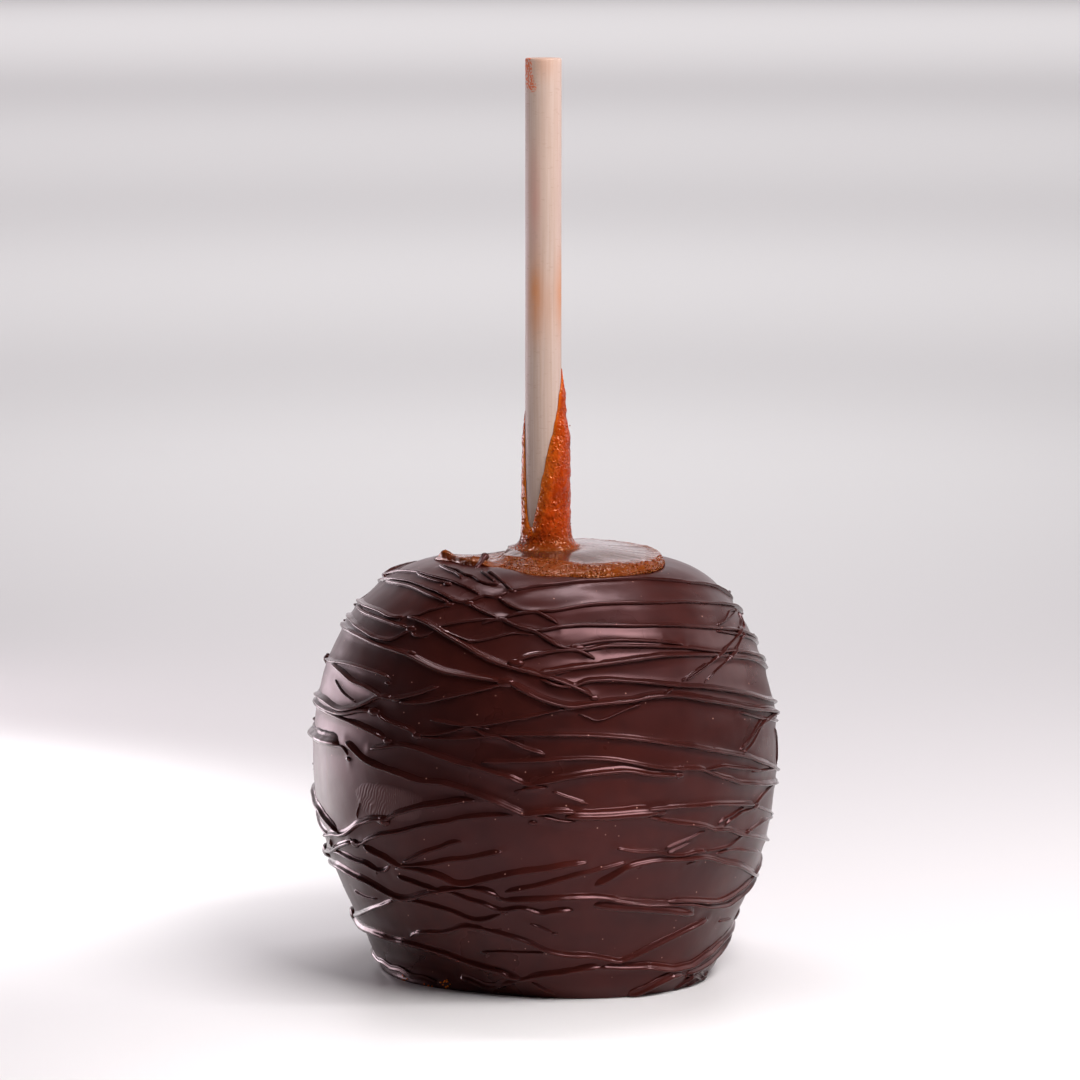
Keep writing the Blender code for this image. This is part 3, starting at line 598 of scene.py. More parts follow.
THREADS = [
    (0.5, [(49, 60.8), (43, 59.5), (37, 58)]),
    (0.5, [(82, 66.4), (71.5, 64.5), (56.5, 62), (47, 60), (38.5, 58)]),
    (0.45, [(74, 64), (61, 61.2), (51, 59), (44.5, 57.2)]), (0.4, [(30.5, 55.9), (34.8, 57.3)]),
    (0.4, [(7.5, 53.9), (10, 53.3), (12.2, 52.6), (13.5, 52.6), (17, 53.3), (20.5, 54.2), (25, 55)]),
    (0.5, [(62, 66.8), (68, 67.6), (74, 68.4), (80, 68)]), (0.4, [(85, 67.6), (82, 66), (79, 64.2)]),
    (0.4, [(84, 68), (75, 67.6), (67.5, 67.2), (59.5, 66.8)]),
    (0.45, [(85, 48.5), (64.5, 47.2), (56, 44.5)]), (0.6, [(33, 64.6), (34.2, 65.6), (35.4, 66.1)]),
    (0.55, [(1, 40.9), (3.5, 40.1), (7, 39.2), (10.8, 38.2)]),
    (0.45, [(55, 44.6), (60, 46.1), (64, 47.6), (69, 49.2)]),
    (0.4, [(57, 44), (62, 45.4), (66, 47), (72, 49)]),
    (0.7, [(62, 34), (64.5, 34.6), (67, 35.2), (71, 35.9), (80, 36.2), (92, 35.6)]),
    (0.6, [(63, 34.4), (65.5, 33.7), (71, 32.6), (80, 31), (92, 29)]),
    (0.6, [(94, 28.8), (82, 29.7), (70.5, 30.4), (66.5, 30.1), (61, 29.6)]),
    (0.55, [(30, 29.2), (32, 29.8), (36, 30.6), (39, 31.1), (41, 31.6), (43.5, 31.9)]),
    (0.5, [(31, 28.6), (34, 29.2), (36, 29.6), (39, 30.4)]),
    (0.7, [(64, 33.8), (60, 33.7), (56, 33.7), (53.5, 33.2), (51, 32.7), (50, 32.2), (50, 31.4)]),
    (0.5, [(58, 34.6), (55, 34.3), (52, 33.7), (48.5, 33.2), (46.5, 32.3)]),
    (0.6, [(59, 29.3), (55, 28.6), (53, 28.1), (50, 28), (46, 28), (42.5, 28.2)]),
    (0.7, [(47, 27.1), (50, 27.3), (53, 27.3), (58, 26.8), (64, 25.9), (76, 24.2)]),
    (0.6, [(37.5, 25.9), (39, 26.3), (42, 26.2)]), (0.5, [(-5, 16.5), (-1.5, 15.7), (2.5, 14.4)]),
    (0.5, [(-65, 18.5), (-60, 18), (-56, 17.9), (-51.5, 18.2)]), (1, [(-71, 27.8), (-71.5, 25.2)]),
    (0.4, [(-8, 40.5), (-3, 41.3), (1, 41.4)]), (0.4, [(82, 46), (88, 42.1), (88, 38.3)]),
    (0.4, [(-70, 56), (-62, 54), (-55, 53)]),
    (0.9, [(-46.5, 10.6), (-44, 11.5), (-40, 12.5), (-37.5, 12.8)]),
    (0.6, [(-47.6, 25), (-48, 24.3), (-49, 22.9)]),
    (0.35, [(-51, 36.4), (-52, 35.2), (-53, 33.9), (-53, 32.6)]),
    (0.6, [(-5, 4), (-3, 3.3), (0, 2.2), (4, 0.9)]), (0.5, [(-17, 6.3), (-14, 5.8), (-11, 5.1)]),
    (0.5, [(-21, 9.3), (-15, 9.9), (-7.5, 10.1), (0, 10.3)]), (0.6, [(58, 12.8), (63, 12.4), (70, 12)]),
    (0.7, [(45, 3.6), (50, 3), (55, 1.9), (60, 0.3)]), (0.6, [(49, 5.4), (53, 3.8), (57, 2.4), (64, 0.6)]),
    (0.6, [(48.5, 2.2), (52, 3.1), (55, 3.5), (59, 3.9), (63, 4.7)]),
    (0.6, [(50, 0.3), (53, 1), (57, 1.3), (63, 2.5)]),
    (0.5, [(43.5, 0.2), (46, 1.2), (48, 2), (49, 2.8), (50.5, 3.6)]), (0.6, [(53, 4), (60, 4.7), (66, 6)]),
]
MIDDLE = [
    (1.2, [(-100, 49.4), (-88, 50), (-75, 50), (-62, 49.8), (-56, 49.5), (-50, 49), (-46, 48.5),
     (-41.5, 47.7)]),
    (1.1, [(-48, 45.6), (-41, 46.6), (-36.5, 47.1), (-34, 47), (-30, 46.5), (-26.5, 45.9), (-20.5, 44.9),
     (-16, 44.4), (-12, 43.6), (-8.5, 42.9), (-5, 41.9), (-3, 41.7), (0, 42.1)]),
    (1.4, [(-4, 41.9), (-2, 42), (2.5, 42.6), (7, 43.1), (11, 43.5), (15, 43.7), (20, 43.7), (24.5, 43),
     (29, 42.5), (33.5, 42.2)]),
    (1, [(-72, 45), (-64, 44.7), (-57, 44.5), (-56, 43.4)]),
    (2.4, [(-101, 43.6), (-90, 44.2), (-78, 44.6), (-70, 44.8), (-60, 45.4)]),
    (1.2, [(-58, 46.2), (-54, 45.2), (-50, 43.9), (-45, 43), (-40, 42.5), (-36, 42), (-32, 41.4),
     (-25, 41.3), (-18, 40.2), (-13, 39), (-7.5, 37.4), (-4.5, 36.6), (-2.5, 36.8), (2, 37.1), (8, 37)]),
    (1, [(-47, 52.2), (-43, 51), (-39, 50.5), (-34, 49.7), (-32, 49)]),
    (0.7, [(-33, 49.2), (-27, 49.6), (-22, 50.6), (-18.5, 51.4), (-13, 51)]),
    (0.7, [(-33, 49), (-27, 48.9), (-20, 49.2), (-15, 49.7), (-9, 49.6)]),
    (0.8, [(-19.5, 51.6), (-17, 50.8), (-15, 50.1), (-11, 49.8), (-9, 49.2), (-5, 48), (0.7, 46.8)]),
    (1.1, [(-12, 50.1), (-6, 50.2), (2.5, 50.2), (11, 50), (16.5, 49.6), (25, 48.7), (32, 47.6),
     (37.5, 46.9), (43, 45.9), (49, 44.9), (53, 44.2), (56, 43.7), (60, 43), (64, 42), (70.5, 40.7),
     (80, 38.8), (94, 37)]),
    (0.9, [(-16, 45.4), (-0.5, 45.9), (5, 46.1), (11, 46.1), (15.5, 45.8), (20, 45.2), (27, 44), (32, 43.4),
     (34.5, 43.4)]),
    (1.1, [(30, 43.4), (34, 43.3), (36, 43.2), (40.5, 42.7), (44, 41.7), (47, 40.9), (51, 40), (54.5, 39.1),
     (59, 38.5), (67, 37.5), (73, 36.9), (86, 35.6), (98, 34)]),
    (0.8, [(38, 42.9), (42, 42.6), (48, 42.6), (53, 41.9), (59, 41.1), (67.5, 39.9)]),
    (0.9, [(60, 40.6), (68, 39.8), (76, 39.2), (88, 37.8)]),
    (0.8, [(-30, 52), (-17, 51.5), (-10, 52.4), (-4, 53.2), (2, 54.2), (6, 54.6)]),
    (1, [(-3, 36.8), (0.5, 36.2), (4, 35.6), (8, 35.4)]),
    (2.3, [(4, 36.3), (9, 36.2), (15, 36.1), (20, 36.2), (25, 36.2), (29, 36.3)]),
    (1, [(24, 36.8), (31.5, 36.8), (37, 36.6), (41, 36.4), (45, 36.3), (51, 35.7), (58, 35), (64, 34.3)]),
    (1.1, [(18, 36), (24.5, 35.7), (27, 35.2), (32, 34.2), (37, 33.5), (42, 32.7), (46, 31.7), (49, 31.5),
     (52, 31), (55.5, 30.1), (59.5, 29.4), (64, 28.6), (67.5, 28.1), (74, 27), (85, 25.4), (98, 24)]),
    (1.4, [(-102, 34.2), (-92, 33.8), (-82, 32.4), (-75, 31.8), (-72, 31.1), (-68, 30.4), (-63, 29.4)]),
    (1.3, [(-78, 27.2), (-71, 28), (-66.5, 28.7), (-62, 29.1), (-59, 29.7), (-56, 30.7), (-53, 31.9),
     (-49.5, 32.8), (-46.5, 33.5), (-44, 33.8), (-41.5, 34), (-39, 35), (-36, 35.8), (-33, 36.5),
     (-30, 37.1), (-26, 37.6), (-23, 38.1), (-20, 38.6), (-16, 38.8)]),
    (0.9, [(-58, 29.2), (-55, 28.5), (-52, 28.7), (-49.5, 29.6), (-47, 30.3), (-44, 31), (-41, 31.5),
     (-38, 32), (-35, 32.7), (-32, 33.4), (-27, 34.3), (-24, 34.7), (-21, 35.4), (-16, 36), (-7, 36.6)]),
]
LOWER = [
    (1.2, [(-102, 21.6), (-88, 23), (-78, 24.2), (-70.5, 25.2), (-65, 26.6), (-60.5, 27.6), (-57, 28.3),
     (-55, 28.5)]),
    (1, [(-97, 30), (-88, 29.3), (-78, 28.4), (-70, 28.1)]),
    (1, [(-80, 24.4), (-70, 25.2), (-66, 25.4), (-60, 25.3), (-55.5, 25.1), (-51.5, 25), (-49, 24.5),
     (-46.5, 24.2), (-44.5, 24.5), (-43, 25.3), (-42, 26)]),
    (1.2, [(-52, 28.7), (-50.5, 28.1), (-47.5, 27.4), (-44, 26.8), (-42, 26.3), (-39, 25.8),
     (-35.5, 25.7)]),
    (1.3, [(-100, 20.6), (-90, 21), (-80, 21.6), (-69, 22.3), (-63, 22.2), (-58, 21.9), (-54, 21.6),
     (-50, 20.9), (-47, 20.2), (-44, 19.7), (-41, 19.4), (-37, 19.9), (-34, 20.7), (-31, 21.4), (-28, 21.9),
     (-25.5, 22.3), (-18, 22.9), (-14, 22.2), (-11, 21.3)]),
    (1, [(-86, 10.6), (-71, 12.7), (-62, 14.6), (-54, 16.4), (-48.5, 17.7), (-45, 18.8), (-44, 19.3)]),
    (1.9, [(-103, 10.2), (-90, 9.8), (-78, 9.3), (-65, 9.6), (-60, 9.5), (-55, 9.3), (-48.5, 9.4),
     (-45, 9.3), (-40, 8.8), (-37, 8.5), (-33, 8.2), (-30, 7.7), (-27, 7.1), (-24, 6.7), (-21, 6.3),
     (-16, 5.8), (-11, 4.8), (-7, 4.4)]),
    (1.2, [(-43, 12), (-38, 12.7), (-32, 13.1), (-26, 14.3), (-24.5, 14.7), (-20, 15.1), (-16, 14.6)]),
    (1, [(-45, 19), (-36, 19.3), (-31, 18.7), (-26, 18), (-22, 16.9), (-19, 16.5), (-16, 16.8),
     (-11.5, 18.2)]),
    (1, [(-41.5, 23.9), (-39, 23.4), (-36, 23), (-33, 22.5), (-30.5, 22.2), (-28, 22), (-25, 21.9),
     (-23, 21.4), (-21, 20.8), (-17, 20.1), (-12, 18.9), (-6, 19.5), (-1, 18.6), (3, 19), (8, 19.1)]),
    (0.9, [(-39, 26.4), (-36, 27.1), (-34, 27.8), (-31, 28.8), (-28, 29.6), (-26, 30.1), (-24, 30.8),
     (-20, 31.6)]),
    (1, [(-41, 25.8), (-34, 26.3), (-29, 26.9), (-25, 27.7), (-20, 28.3), (-15, 29.2), (-10, 30.1)]),
    (1.2, [(-42, 25), (-36, 25.6), (-31, 25.2), (-27, 24.5), (-23, 23.5), (-20, 23.6), (-16, 24.4),
     (-10, 25.6), (-5, 26.4), (0, 26.9), (5, 27.6), (11, 28.1)]),
    (1.1, [(-13, 21.6), (-10, 21), (-5, 21.1), (0, 21.3), (5, 21.5), (10, 21.5), (15.5, 21.2), (20, 20.3),
     (24, 19.7), (29, 19.1), (34, 18.8), (44, 17.9), (49, 16.9), (54, 16.3), (61, 16), (65, 16.5), (72, 17),
     (80, 18), (98, 18.8)]),
    (2.6, [(12, 20), (20, 19.2), (28, 18.4), (36, 17.4), (45, 15.8)]),
    (0.9, [(-11, 22.4), (-6, 23.2), (-1, 24), (4, 25), (8, 25.8), (12, 26.4), (15, 26.9), (21, 27.8)]),
    (0.9, [(17, 30.4), (23, 29.5), (28, 29.1), (32.5, 28.3), (37, 28), (40, 28.2), (45, 28.1)]),
    (1.3, [(12, 23.6), (15, 24.4), (18, 25.6), (21, 26.8), (25.5, 27.4), (33, 27.4), (38.5, 27.1),
     (42.5, 27), (47, 26.3), (49, 25.8), (53, 24.9), (58, 24), (64, 22.6), (68, 21.6), (80, 19.4),
     (96, 18.4)]),
    (1, [(33, 19.4), (38, 19.2), (44, 18.6), (54, 17.4), (66, 18.4), (80, 20.4), (94, 22)]),
    (1, [(-20, 15.1), (-16, 14.6), (-12, 13.9), (-7, 13), (-4, 12.2), (-1, 11.1), (3, 10.1), (6, 9.7),
     (13.5, 9.3), (19, 8.4), (22, 7.9), (24.5, 8.4), (30, 9.9), (35, 11.3), (41, 12.6), (44, 13.1),
     (48, 13.7), (52, 14.3)]),
    (1.1, [(-32, 3), (-27.5, 3.1), (-24, 2.4), (-22, 2), (-17, 2.2), (-14, 3.1), (-10, 3.9), (-6.5, 4.5),
     (-1.5, 5.3), (6, 6.1), (13.5, 6.9), (18, 7.1)]),
    (1.3, [(16, 7.1), (24, 6.6), (32, 6.2), (36.5, 5.6), (41, 5.1), (45, 5.1), (48.5, 5.1), (52, 5.6),
     (55, 6.2), (60, 6.7), (64, 7.4), (69.5, 8), (80, 8.7), (97, 9.8)]),
    (1.3, [(26, 0.6), (30, 1.3), (33, 2.2), (35.5, 2.9), (38.5, 3.5), (41, 3.9), (43, 3.9), (46, 3.8)]),
    (1.4, [(46, 3.8), (55, 4.2), (62, 4.9), (75, 6.6), (88, 8.4), (102, 9)]),
    (0.7, [(-96, 2.9), (-87, 2.6), (-80, 2.1), (-74, 2.3), (-68, 1.8), (-62, 2), (-55, 1.4), (-48, 1.5),
     (-42, 0.8)]),
]
# how far up the strands leave the right side and reach the left on their way behind
BACK_RIGHT = [70.5, 67, 61.7, 56.5, 49.2, 46.5, 38, 25.4, 18.8, 10.5]
BACK_LEFT = [75, 68.8, 65.5, 57.3, 50.6, 46, 38, 30.8, 22.4, 10.6]
BACK_STARTS, BACK_ENDS = 94, 266
MM_PER_DEGREE = 0.7
CLOSER_IN_FRONT = 25
COAT_SIDES = 440
COAT_ROWS = 190
INNER_ROWS = 8
# the rim rolled over and down to the caramel: mm back from its edge, mm off the skin
RIM_ROLL = [(0.3, -0.06), (0.1, -0.24), (0.0, -0.55), (0.0, -1.1), (0.0, -1.7), (0.1, -2.3)]
DRAWN_UP = 0.17
MOST_DRAWN_UP = 0.4
CHOCOLATE = (0.028, 0.0062, 0.0052, 1)
CHOCOLATE_RED = (0.046, 0.0084, 0.0058, 1)
CHOCOLATE_DARK = (0.012, 0.0033, 0.003, 1)
CHOCOLATE_SHEEN = (1.0, 0.55, 0.58, 1)
CHOCOLATE_DUST = (0.4, 0.2, 0.16, 1)
CHOCOLATE_BLOOM = (0.1, 0.052, 0.05, 1)


def back_strands(step=0, sag=0.0, width=1.3):
    """Strands that carry on behind, sagging and wandering a little, each to the end step places down."""
    wander = random.Random(5 + step)
    found = []
    for start, end in zip(BACK_RIGHT, BACK_LEFT[step:]):
        stops = [(BACK_STARTS, start - sag), (BACK_STARTS + 12, start - sag - 1.4)]
        for around in (125, 155, 190, 225, 245):
            level = start + (end - start) * (around - BACK_STARTS) / (BACK_ENDS - BACK_STARTS)
            stops.append((around, level + wander.uniform(-2.0, 2.0) - sag))
        stops += [(BACK_ENDS - 10, end - sag - 0.9), (BACK_ENDS, end - sag)]
        found.append((width * wander.uniform(0.75, 1.25), stops))
    return found


def track(stops, step):
    """The middle line of a strand, as degrees round and mm up, a step apart."""
    line = smooth_line([(around * MM_PER_DEGREE, up) for around, up in stops], step)
    return np.stack([line[:, 0] / MM_PER_DEGREE, line[:, 1]], axis=-1)


behind = back_strands() + back_strands(1, 1.0, 0.9)


def waves(spots):
    """The slow unevenness of the skin at the given places, in mm."""
    return ripple(spots, 17.0, 4.4, 2) * 0.27 + ripple(spots, 5.0, 9.1, 2) * 0.045


def drawn_up(around, up):
    """How far the skin is drawn up by the strands over it, most where they cross, in mm."""
    raised = np.zeros(len(around))
    wide = np.maximum(np.interp(up, along, profile[:, 0]), 5.0) * pi / 180
    for width, stops in LEFT_SHOULDER + RIGHT_SHOULDER + THREADS + MIDDLE + LOWER + behind:
        line = track(stops, 1.0)
        a = np.where(around < line[:, 0].min() - 5, around + 360, around)
        some = np.flatnonzero((a > line[:, 0].min() - 5) & (a < line[:, 0].max() + 5)
                              & (up > line[:, 1].min() - 3) & (up < line[:, 1].max() + 3))
        if len(some) == 0:
            continue
        if np.all(np.diff(line[:, 0]) > 0) and len(line) > 12:
            level = np.interp(a[some], line[:, 0], line[:, 1])
            slope = np.gradient(line[:, 1], line[:, 0])
            slope = np.interp(a[some], line[:, 0], slope) / wide[some]
            past = np.maximum(0, np.maximum(line[0, 0] - a[some], a[some] - line[-1, 0])) * wide[some]
            away = np.hypot((up[some] - level) / np.sqrt(1 + slope * slope), past)
        else:
            round_gap = (a[some, None] - line[None, :, 0]) * wide[some, None]
            away = np.hypot(round_gap, up[some, None] - line[None, :, 1]).min(axis=1)
        raised[some] += min(width, 1.5) * np.exp(-((away / (0.5 * width + 0.28)) ** 2))
    return MOST_DRAWN_UP * np.tanh(DRAWN_UP * raised / MOST_DRAWN_UP)


rim_row = 1 + COAT_ROWS
inner_row = rim_row + len(RIM_ROLL)
bm, around, row = rolled(COAT_SIDES, inner_row + INNER_ROWS + 1)
around = around - CLOSER_IN_FRONT * np.sin(np.radians(around))
rim = rim_up(around)
spots = np.zeros((len(row), 3))
outer = (row >= 1) & (row <= COAT_ROWS)
up = (rim[outer] - 0.55) * (row[outer] - 1) / (COAT_ROWS - 1)
spots[outer] = skin(around[outer], up)
wave = waves(spots[outer])
quiet = np.clip(up / 2.0, 0, 1) * np.clip((rim[outer] - up) / 1.5, 0, 1)
spots[outer] = skin(around[outer], up, (wave + drawn_up(around[outer], up)) * quiet)
for step, (back, lift) in enumerate(RIM_ROLL):
    here = row == rim_row + step
    spots[here] = skin(around[here], rim[here] - back, lift)
for step in range(INNER_ROWS):
    here = row == inner_row + step
    part = step / (INNER_ROWS - 1)
    spots[here] = skin(around[here], (rim[here] - 0.6) * (1 - part) + FLOOR_UP * part, -COAT_THICKNESS)
spots[row == inner_row + INNER_ROWS] = (0, 0, floor_height - GAP)
set_down(bm, spots)


def dark_chocolate(name, smooth, rough, bloom=0.0):
    """Tempered dark chocolate, redder and darker by turns, its sheen uneven, and greyer where scuffed."""
    made, tree, shader, place = finish(name, rough, Specular_IOR_Level=0.3, Specular_Tint=CHOCOLATE_SHEEN)
    tone = cloudy(tree, place, 26.0, 3.0, Distortion=0.6)
    fine = cloudy(tree, place, 210.0, 4.0)
    body = mixed(tree, ramp(tree, tone, (0.36, 0.0), (0.68, 1.0)), CHOCOLATE, CHOCOLATE_RED)
    body = mixed(tree, ramp(tree, fine, (0.42, 0.0), (0.75, 0.45)), body, CHOCOLATE_DARK)
    if bloom:
        worn = node(tree, "Attribute", attribute_name="worn").outputs["Fac"]
        body = mixed(tree, product(tree, worn, bloom), body, CHOCOLATE_BLOOM)
    dust = node(tree, "TexVoronoi", {"Vector": place, "Scale": 420.0}).outputs["Distance"]
    body = mixed(tree, ramp(tree, dust, (0.035, 1.0), (0.06, 0.0)), body, CHOCOLATE_DUST)
    tree.links.new(body, shader.inputs["Base Color"])
    sheen = cloudy(tree, place, 55.0, 4.0)
    tree.links.new(ramp(tree, sheen, (0.3, smooth), (0.72, rough)), shader.inputs["Roughness"])
    micro = cloudy(tree, place, 900.0, 4.0, Roughness=0.6)
    tree.links.new(node(tree, "Bump", {"Height": micro, "Strength": 0.12, "Distance": 0.0001}).outputs[0],
                   shader.inputs["Normal"])
    return made


chocolate = dark_chocolate("dark_chocolate_skin", 0.24, 0.4)
keep("chocolate_skin", bm, chocolate, "chocolate_coat", "chocolate_coat")

# the scuffed place at the left, where the setting skin was touched: a fan of slanting wrinkles and,
# right of them, fine upright scores, both shallower than a tenth of a millimetre
SCUFF_AROUND = -42.0
SCUFF_UP = 36.9
SCUFF_HALF = (8.6, 3.5)
SCUFF_GRID = (170, 64)


def scuffs(x, y):
    """How far the wrinkles and scores stand up, and how near a place is to the scuff's middle."""
    spots = np.stack([x, y, 0 * x], axis=-1)
    sway = ripple(spots, 2.2, 3.3, 2)
    fan = np.sin(2 * pi * ((0.84 * x - 0.45 * y) / 0.62 + 0.9 * sway)) * 0.028 * (1 + sway)
    broken = np.clip(0.5 + np.sin(2 * pi * y / 0.9 + 6 * sway), 0, 1)
    score = np.sin(2 * pi * (x / 0.46 + 0.3 * sway)) * broken * 0.045
    right = np.clip((x + 0.6) / 1.2, 0, 1)
    near = np.hypot(np.abs(x / SCUFF_HALF[0]) ** 1.5, np.abs(y / SCUFF_HALF[1]) ** 1.5) + 0.12 * sway
    inner = np.clip((1 - near) / 0.55, 0, 1)
    return (fan * (1 - right) + score * right) * inner, inner


bm = bmesh.new()
worn = bm.verts.layers.float.new("worn")
for under in (0.0, 1.0):
    made = bmesh.ops.create_grid(bm, x_segments=SCUFF_GRID[0], y_segments=SCUFF_GRID[1], size=1)["verts"]
    x, y = (np.array([vert.co[:2] for vert in made]) * SCUFF_HALF).T
    fringe = (np.abs(x) > SCUFF_HALF[0] - 1e-4) | (np.abs(y) > SCUFF_HALF[1] - 1e-4)
    here = SCUFF_AROUND + x / MM_PER_DEGREE
    level = SCUFF_UP + y
    wave = waves(skin(here, level))
    raised, inner = scuffs(x, y)
    lift = wave + drawn_up(here, level) + 0.04 + raised - 0.2 * (1 - inner) ** 4
    lift = np.where(fringe, wave - 0.25, lift - 0.5 * under)
    for vert, spot, near in zip(made, skin(here, level, lift) * MM, inner):
        vert.co = spot
        vert[worn] = near
joined(bm)
scuffed = dark_chocolate("dark_chocolate_scuffed", 0.31, 0.45, 0.45)
keep("chocolate_scuffed_place", bm, scuffed, "chocolate_coat", "chocolate_coat")

# ---- Drizzle: strands of the same chocolate thrown round the coated apple from a spoon. Each lies on
# the skin as a low ridge, steeper below than above, thick and thin by turns, and runs into others.
STRAND_STEP = 0.6
THREAD_WIDTH = 0.52
LEAST_HEIGHT = 0.01
SECTION = [  # a strand cut across, steeper below than above: across, up
    (-1.5, -0.5), (-1.15, -0.03), (-0.86, 0.11), (-0.64, 0.28), (-0.46, 0.54), (-0.31, 0.8), (-0.13, 0.96),
    (0.06, 1), (0.24, 0.93), (0.38, 0.76), (0.47, 0.5), (0.5, 0.22), (0.52, 0), (0.6, -0.5), (0, -0.9),
]
KNOTS = [  # degrees round, mm up the skin, radius
    (-90, 57.6, 1), (-86, 23.2, 1.5), (-92, 10, 1.8), (91, 10.4, 1.6), (-100, 44, 1.6), (-41.4, 47.6, 0.7),
    (-47.6, 52.2, 1), (-10, 59, 1.1), (-32.5, 49.1, 0.75), (33.6, 42.3, 0.7), (-3, 72.3, 0.6),
    (-13.5, 70.8, 0.7), (-7.8, 62.4, 1), (0.8, 60.6, 1), (7.3, 58.6, 0.7), (-42.6, 67.4, 0.8),
    (-32.6, 68, 0.6), (-39, 63, 0.7), (-26, 73.7, 0.65), (-33, 73, 0.6), (-17, 75.5, 0.65),
    (-21.6, 66.2, 0.5), (-2.4, 68.2, 0.6), (-40, 77.9, 0.6), (-55, 28.4, 0.9), (-42, 26, 0.7),
    (-44.4, 19, 0.6), (-11.5, 21.2, 0.6), (-3, 35.3, 0.5), (-43, 33.6, 1.1), (34, 43.6, 0.5),
    (2.7, 14.3, 0.4), (-40.6, 54.9, 0.7), (-44.4, 57.4, 0.5), (9, 65.1, 1), (-11, 18.3, 0.5),
    (4.5, 9.9, 0.5), (22.4, 7.9, 0.5), (6, 54.9, 0.8), (-12, 77.2, 0.65), (12.3, 56.4, 0.6),
    (45, 45.8, 0.5), (-56, 43.2, 0.5), (-18.8, 51.4, 0.5), (28.5, 36.2, 0.8), (-25, 22.5, 0.6),
    (64, 34.1, 0.8), (61.5, 29.6, 0.7), (58, 29.2, 0.5), (50, 3.2, 0.6), (61, 0.8, 0.7),
]
KNOB = [  # the end of a strand that stands up on the caramel at the left: x, y, z, radius
    (-12.3, -13.9, 72.3, 0.5), (-11.6, -13.1, 73.1, 0.5), (-11, -11.9, 73.9, 0.5),
    (-10.5, -10.9, 74.4, 0.75),
]


def strand(bm, width, stops, seed):
    """One strand: a sheet folded into a closed tube, laid on the skin and sunk in at its ends."""
    line = track(stops, STRAND_STEP)
    count = len(line)
    s = np.arange(count) * STRAND_STEP
    near = skin(line[:, 0], line[:, 1])
    swell = 1 + 0.14 * ripple(near, 5.0, seed, 2) + 0.05 * ripple(near, 1.7, seed + 5, 2)
    end = np.clip(np.minimum(s, s[::-1]) / (1.2 + 1.2 * width), 0, 1)
    end = np.sqrt(end * (2 - end))
    half = (0.48 * width * swell + 0.1) * (0.25 + 0.75 * end)
    tall = (0.44 * min(width, 1.6) + 0.16) * swell * end
    base = DRAWN_UP * min(width, 1.5) - 0.04 - 0.3 * (1 - end)
    base += waves(near) * np.clip(line[:, 1] / 2.0, 0, 1)
    if width < THREAD_WIDTH:  # a thread lies over the thicker strands that it crosses
        base += np.clip(4.2 * (drawn_up(line[:, 0], line[:, 1]) - 0.1), 0, 0.75)
    middle = skin(line[:, 0], line[:, 1], base)
    ahead = np.gradient(middle, axis=0)
    ahead /= np.linalg.norm(ahead, axis=1)[:, None]
    outward = skin(line[:, 0], line[:, 1], 1.0) - near
    across = np.cross(ahead, outward)
    across *= -np.sign(across[:, 2].sum()) / np.linalg.norm(across, axis=1)[:, None]
    made = bmesh.ops.create_grid(bm, x_segments=len(SECTION), y_segments=count - 1, size=1)["verts"]
    spots = np.array([vert.co[:] for vert in made])
    turn = np.rint((spots[:, 0] + 1) / 2 * len(SECTION)).astype(int) % len(SECTION)
    ring = np.rint((spots[:, 1] + 1) / 2 * (count - 1)).astype(int)
    closed = np.clip(np.minimum(ring, count - 1 - ring), 0, 1)
    x, y = np.array(SECTION)[turn].T
    rise = np.where(y > 0, y * tall[ring], y * 0.45)
    placed = across[ring] * (x * half[ring])[:, None] + outward[ring] * rise[:, None]
    placed = middle[ring] + placed * closed[:, None] + outward[ring] * (-0.25 * (1 - closed))[:, None]
    placed[:, 2] = np.maximum(placed[:, 2], LEAST_HEIGHT)
    for vert, spot in zip(made, placed * MM):
        vert.co = spot


def knot(bm, around, up, radius, seed):
    """A low drop where strands meet or where the spoon turned back."""
    made = bmesh.ops.create_uvsphere(bm, u_segments=20, v_segments=12, radius=1)["verts"]
    middle = skin(around, up, 0.1 + 0.1 * radius + float(waves(skin(around, up))[0]))
    outward = skin(around, up, 1.0) - skin(around, up)
    sideways = np.cross((0, 0, 1), outward)
    sideways /= np.linalg.norm(sideways)
    upward = np.cross(outward, sideways)
    for vert in made:
        x, y, z = vert.co
        grow = 1 + 0.15 * noise.noise(Vector((x * 1.5 + seed, y * 1.5, z * 1.5)))
        spot = middle + (sideways * x * 1.5 + upward * y * 0.85 + outward * z * 0.6) * radius * grow
        vert.co = Vector(spot) * MM


def drizzled(name, strands, knots=(), knobs=()):
    """Strands, the knots where they meet and a raised end, kept as one piece."""
    bm = bmesh.new()
    for seed, (width, stops) in enumerate(strands):
        strand(bm, width, stops, 7 * seed + len(strands))
    for seed, (around, up, radius) in enumerate(knots):
        knot(bm, around, up, radius, seed)
    for *middle, radius in smooth_line(knobs, 0.12) if knobs else ():
        ball(bm, middle, radius, 3)
    joined(bm)
    keep(name, bm, drizzle, "chocolate_coat", "chocolate_coat")


drizzle = dark_chocolate("dark_chocolate_drizzle", 0.13, 0.24)
drizzled("drizzle_left_shoulder", LEFT_SHOULDER)
drizzled("drizzle_right_shoulder", RIGHT_SHOULDER)
drizzled("drizzle_middle", MIDDLE)
drizzled("drizzle_low", LOWER)
drizzled("drizzle_behind", behind)
drizzled("drizzle_threads", THREADS, KNOTS, KNOB)

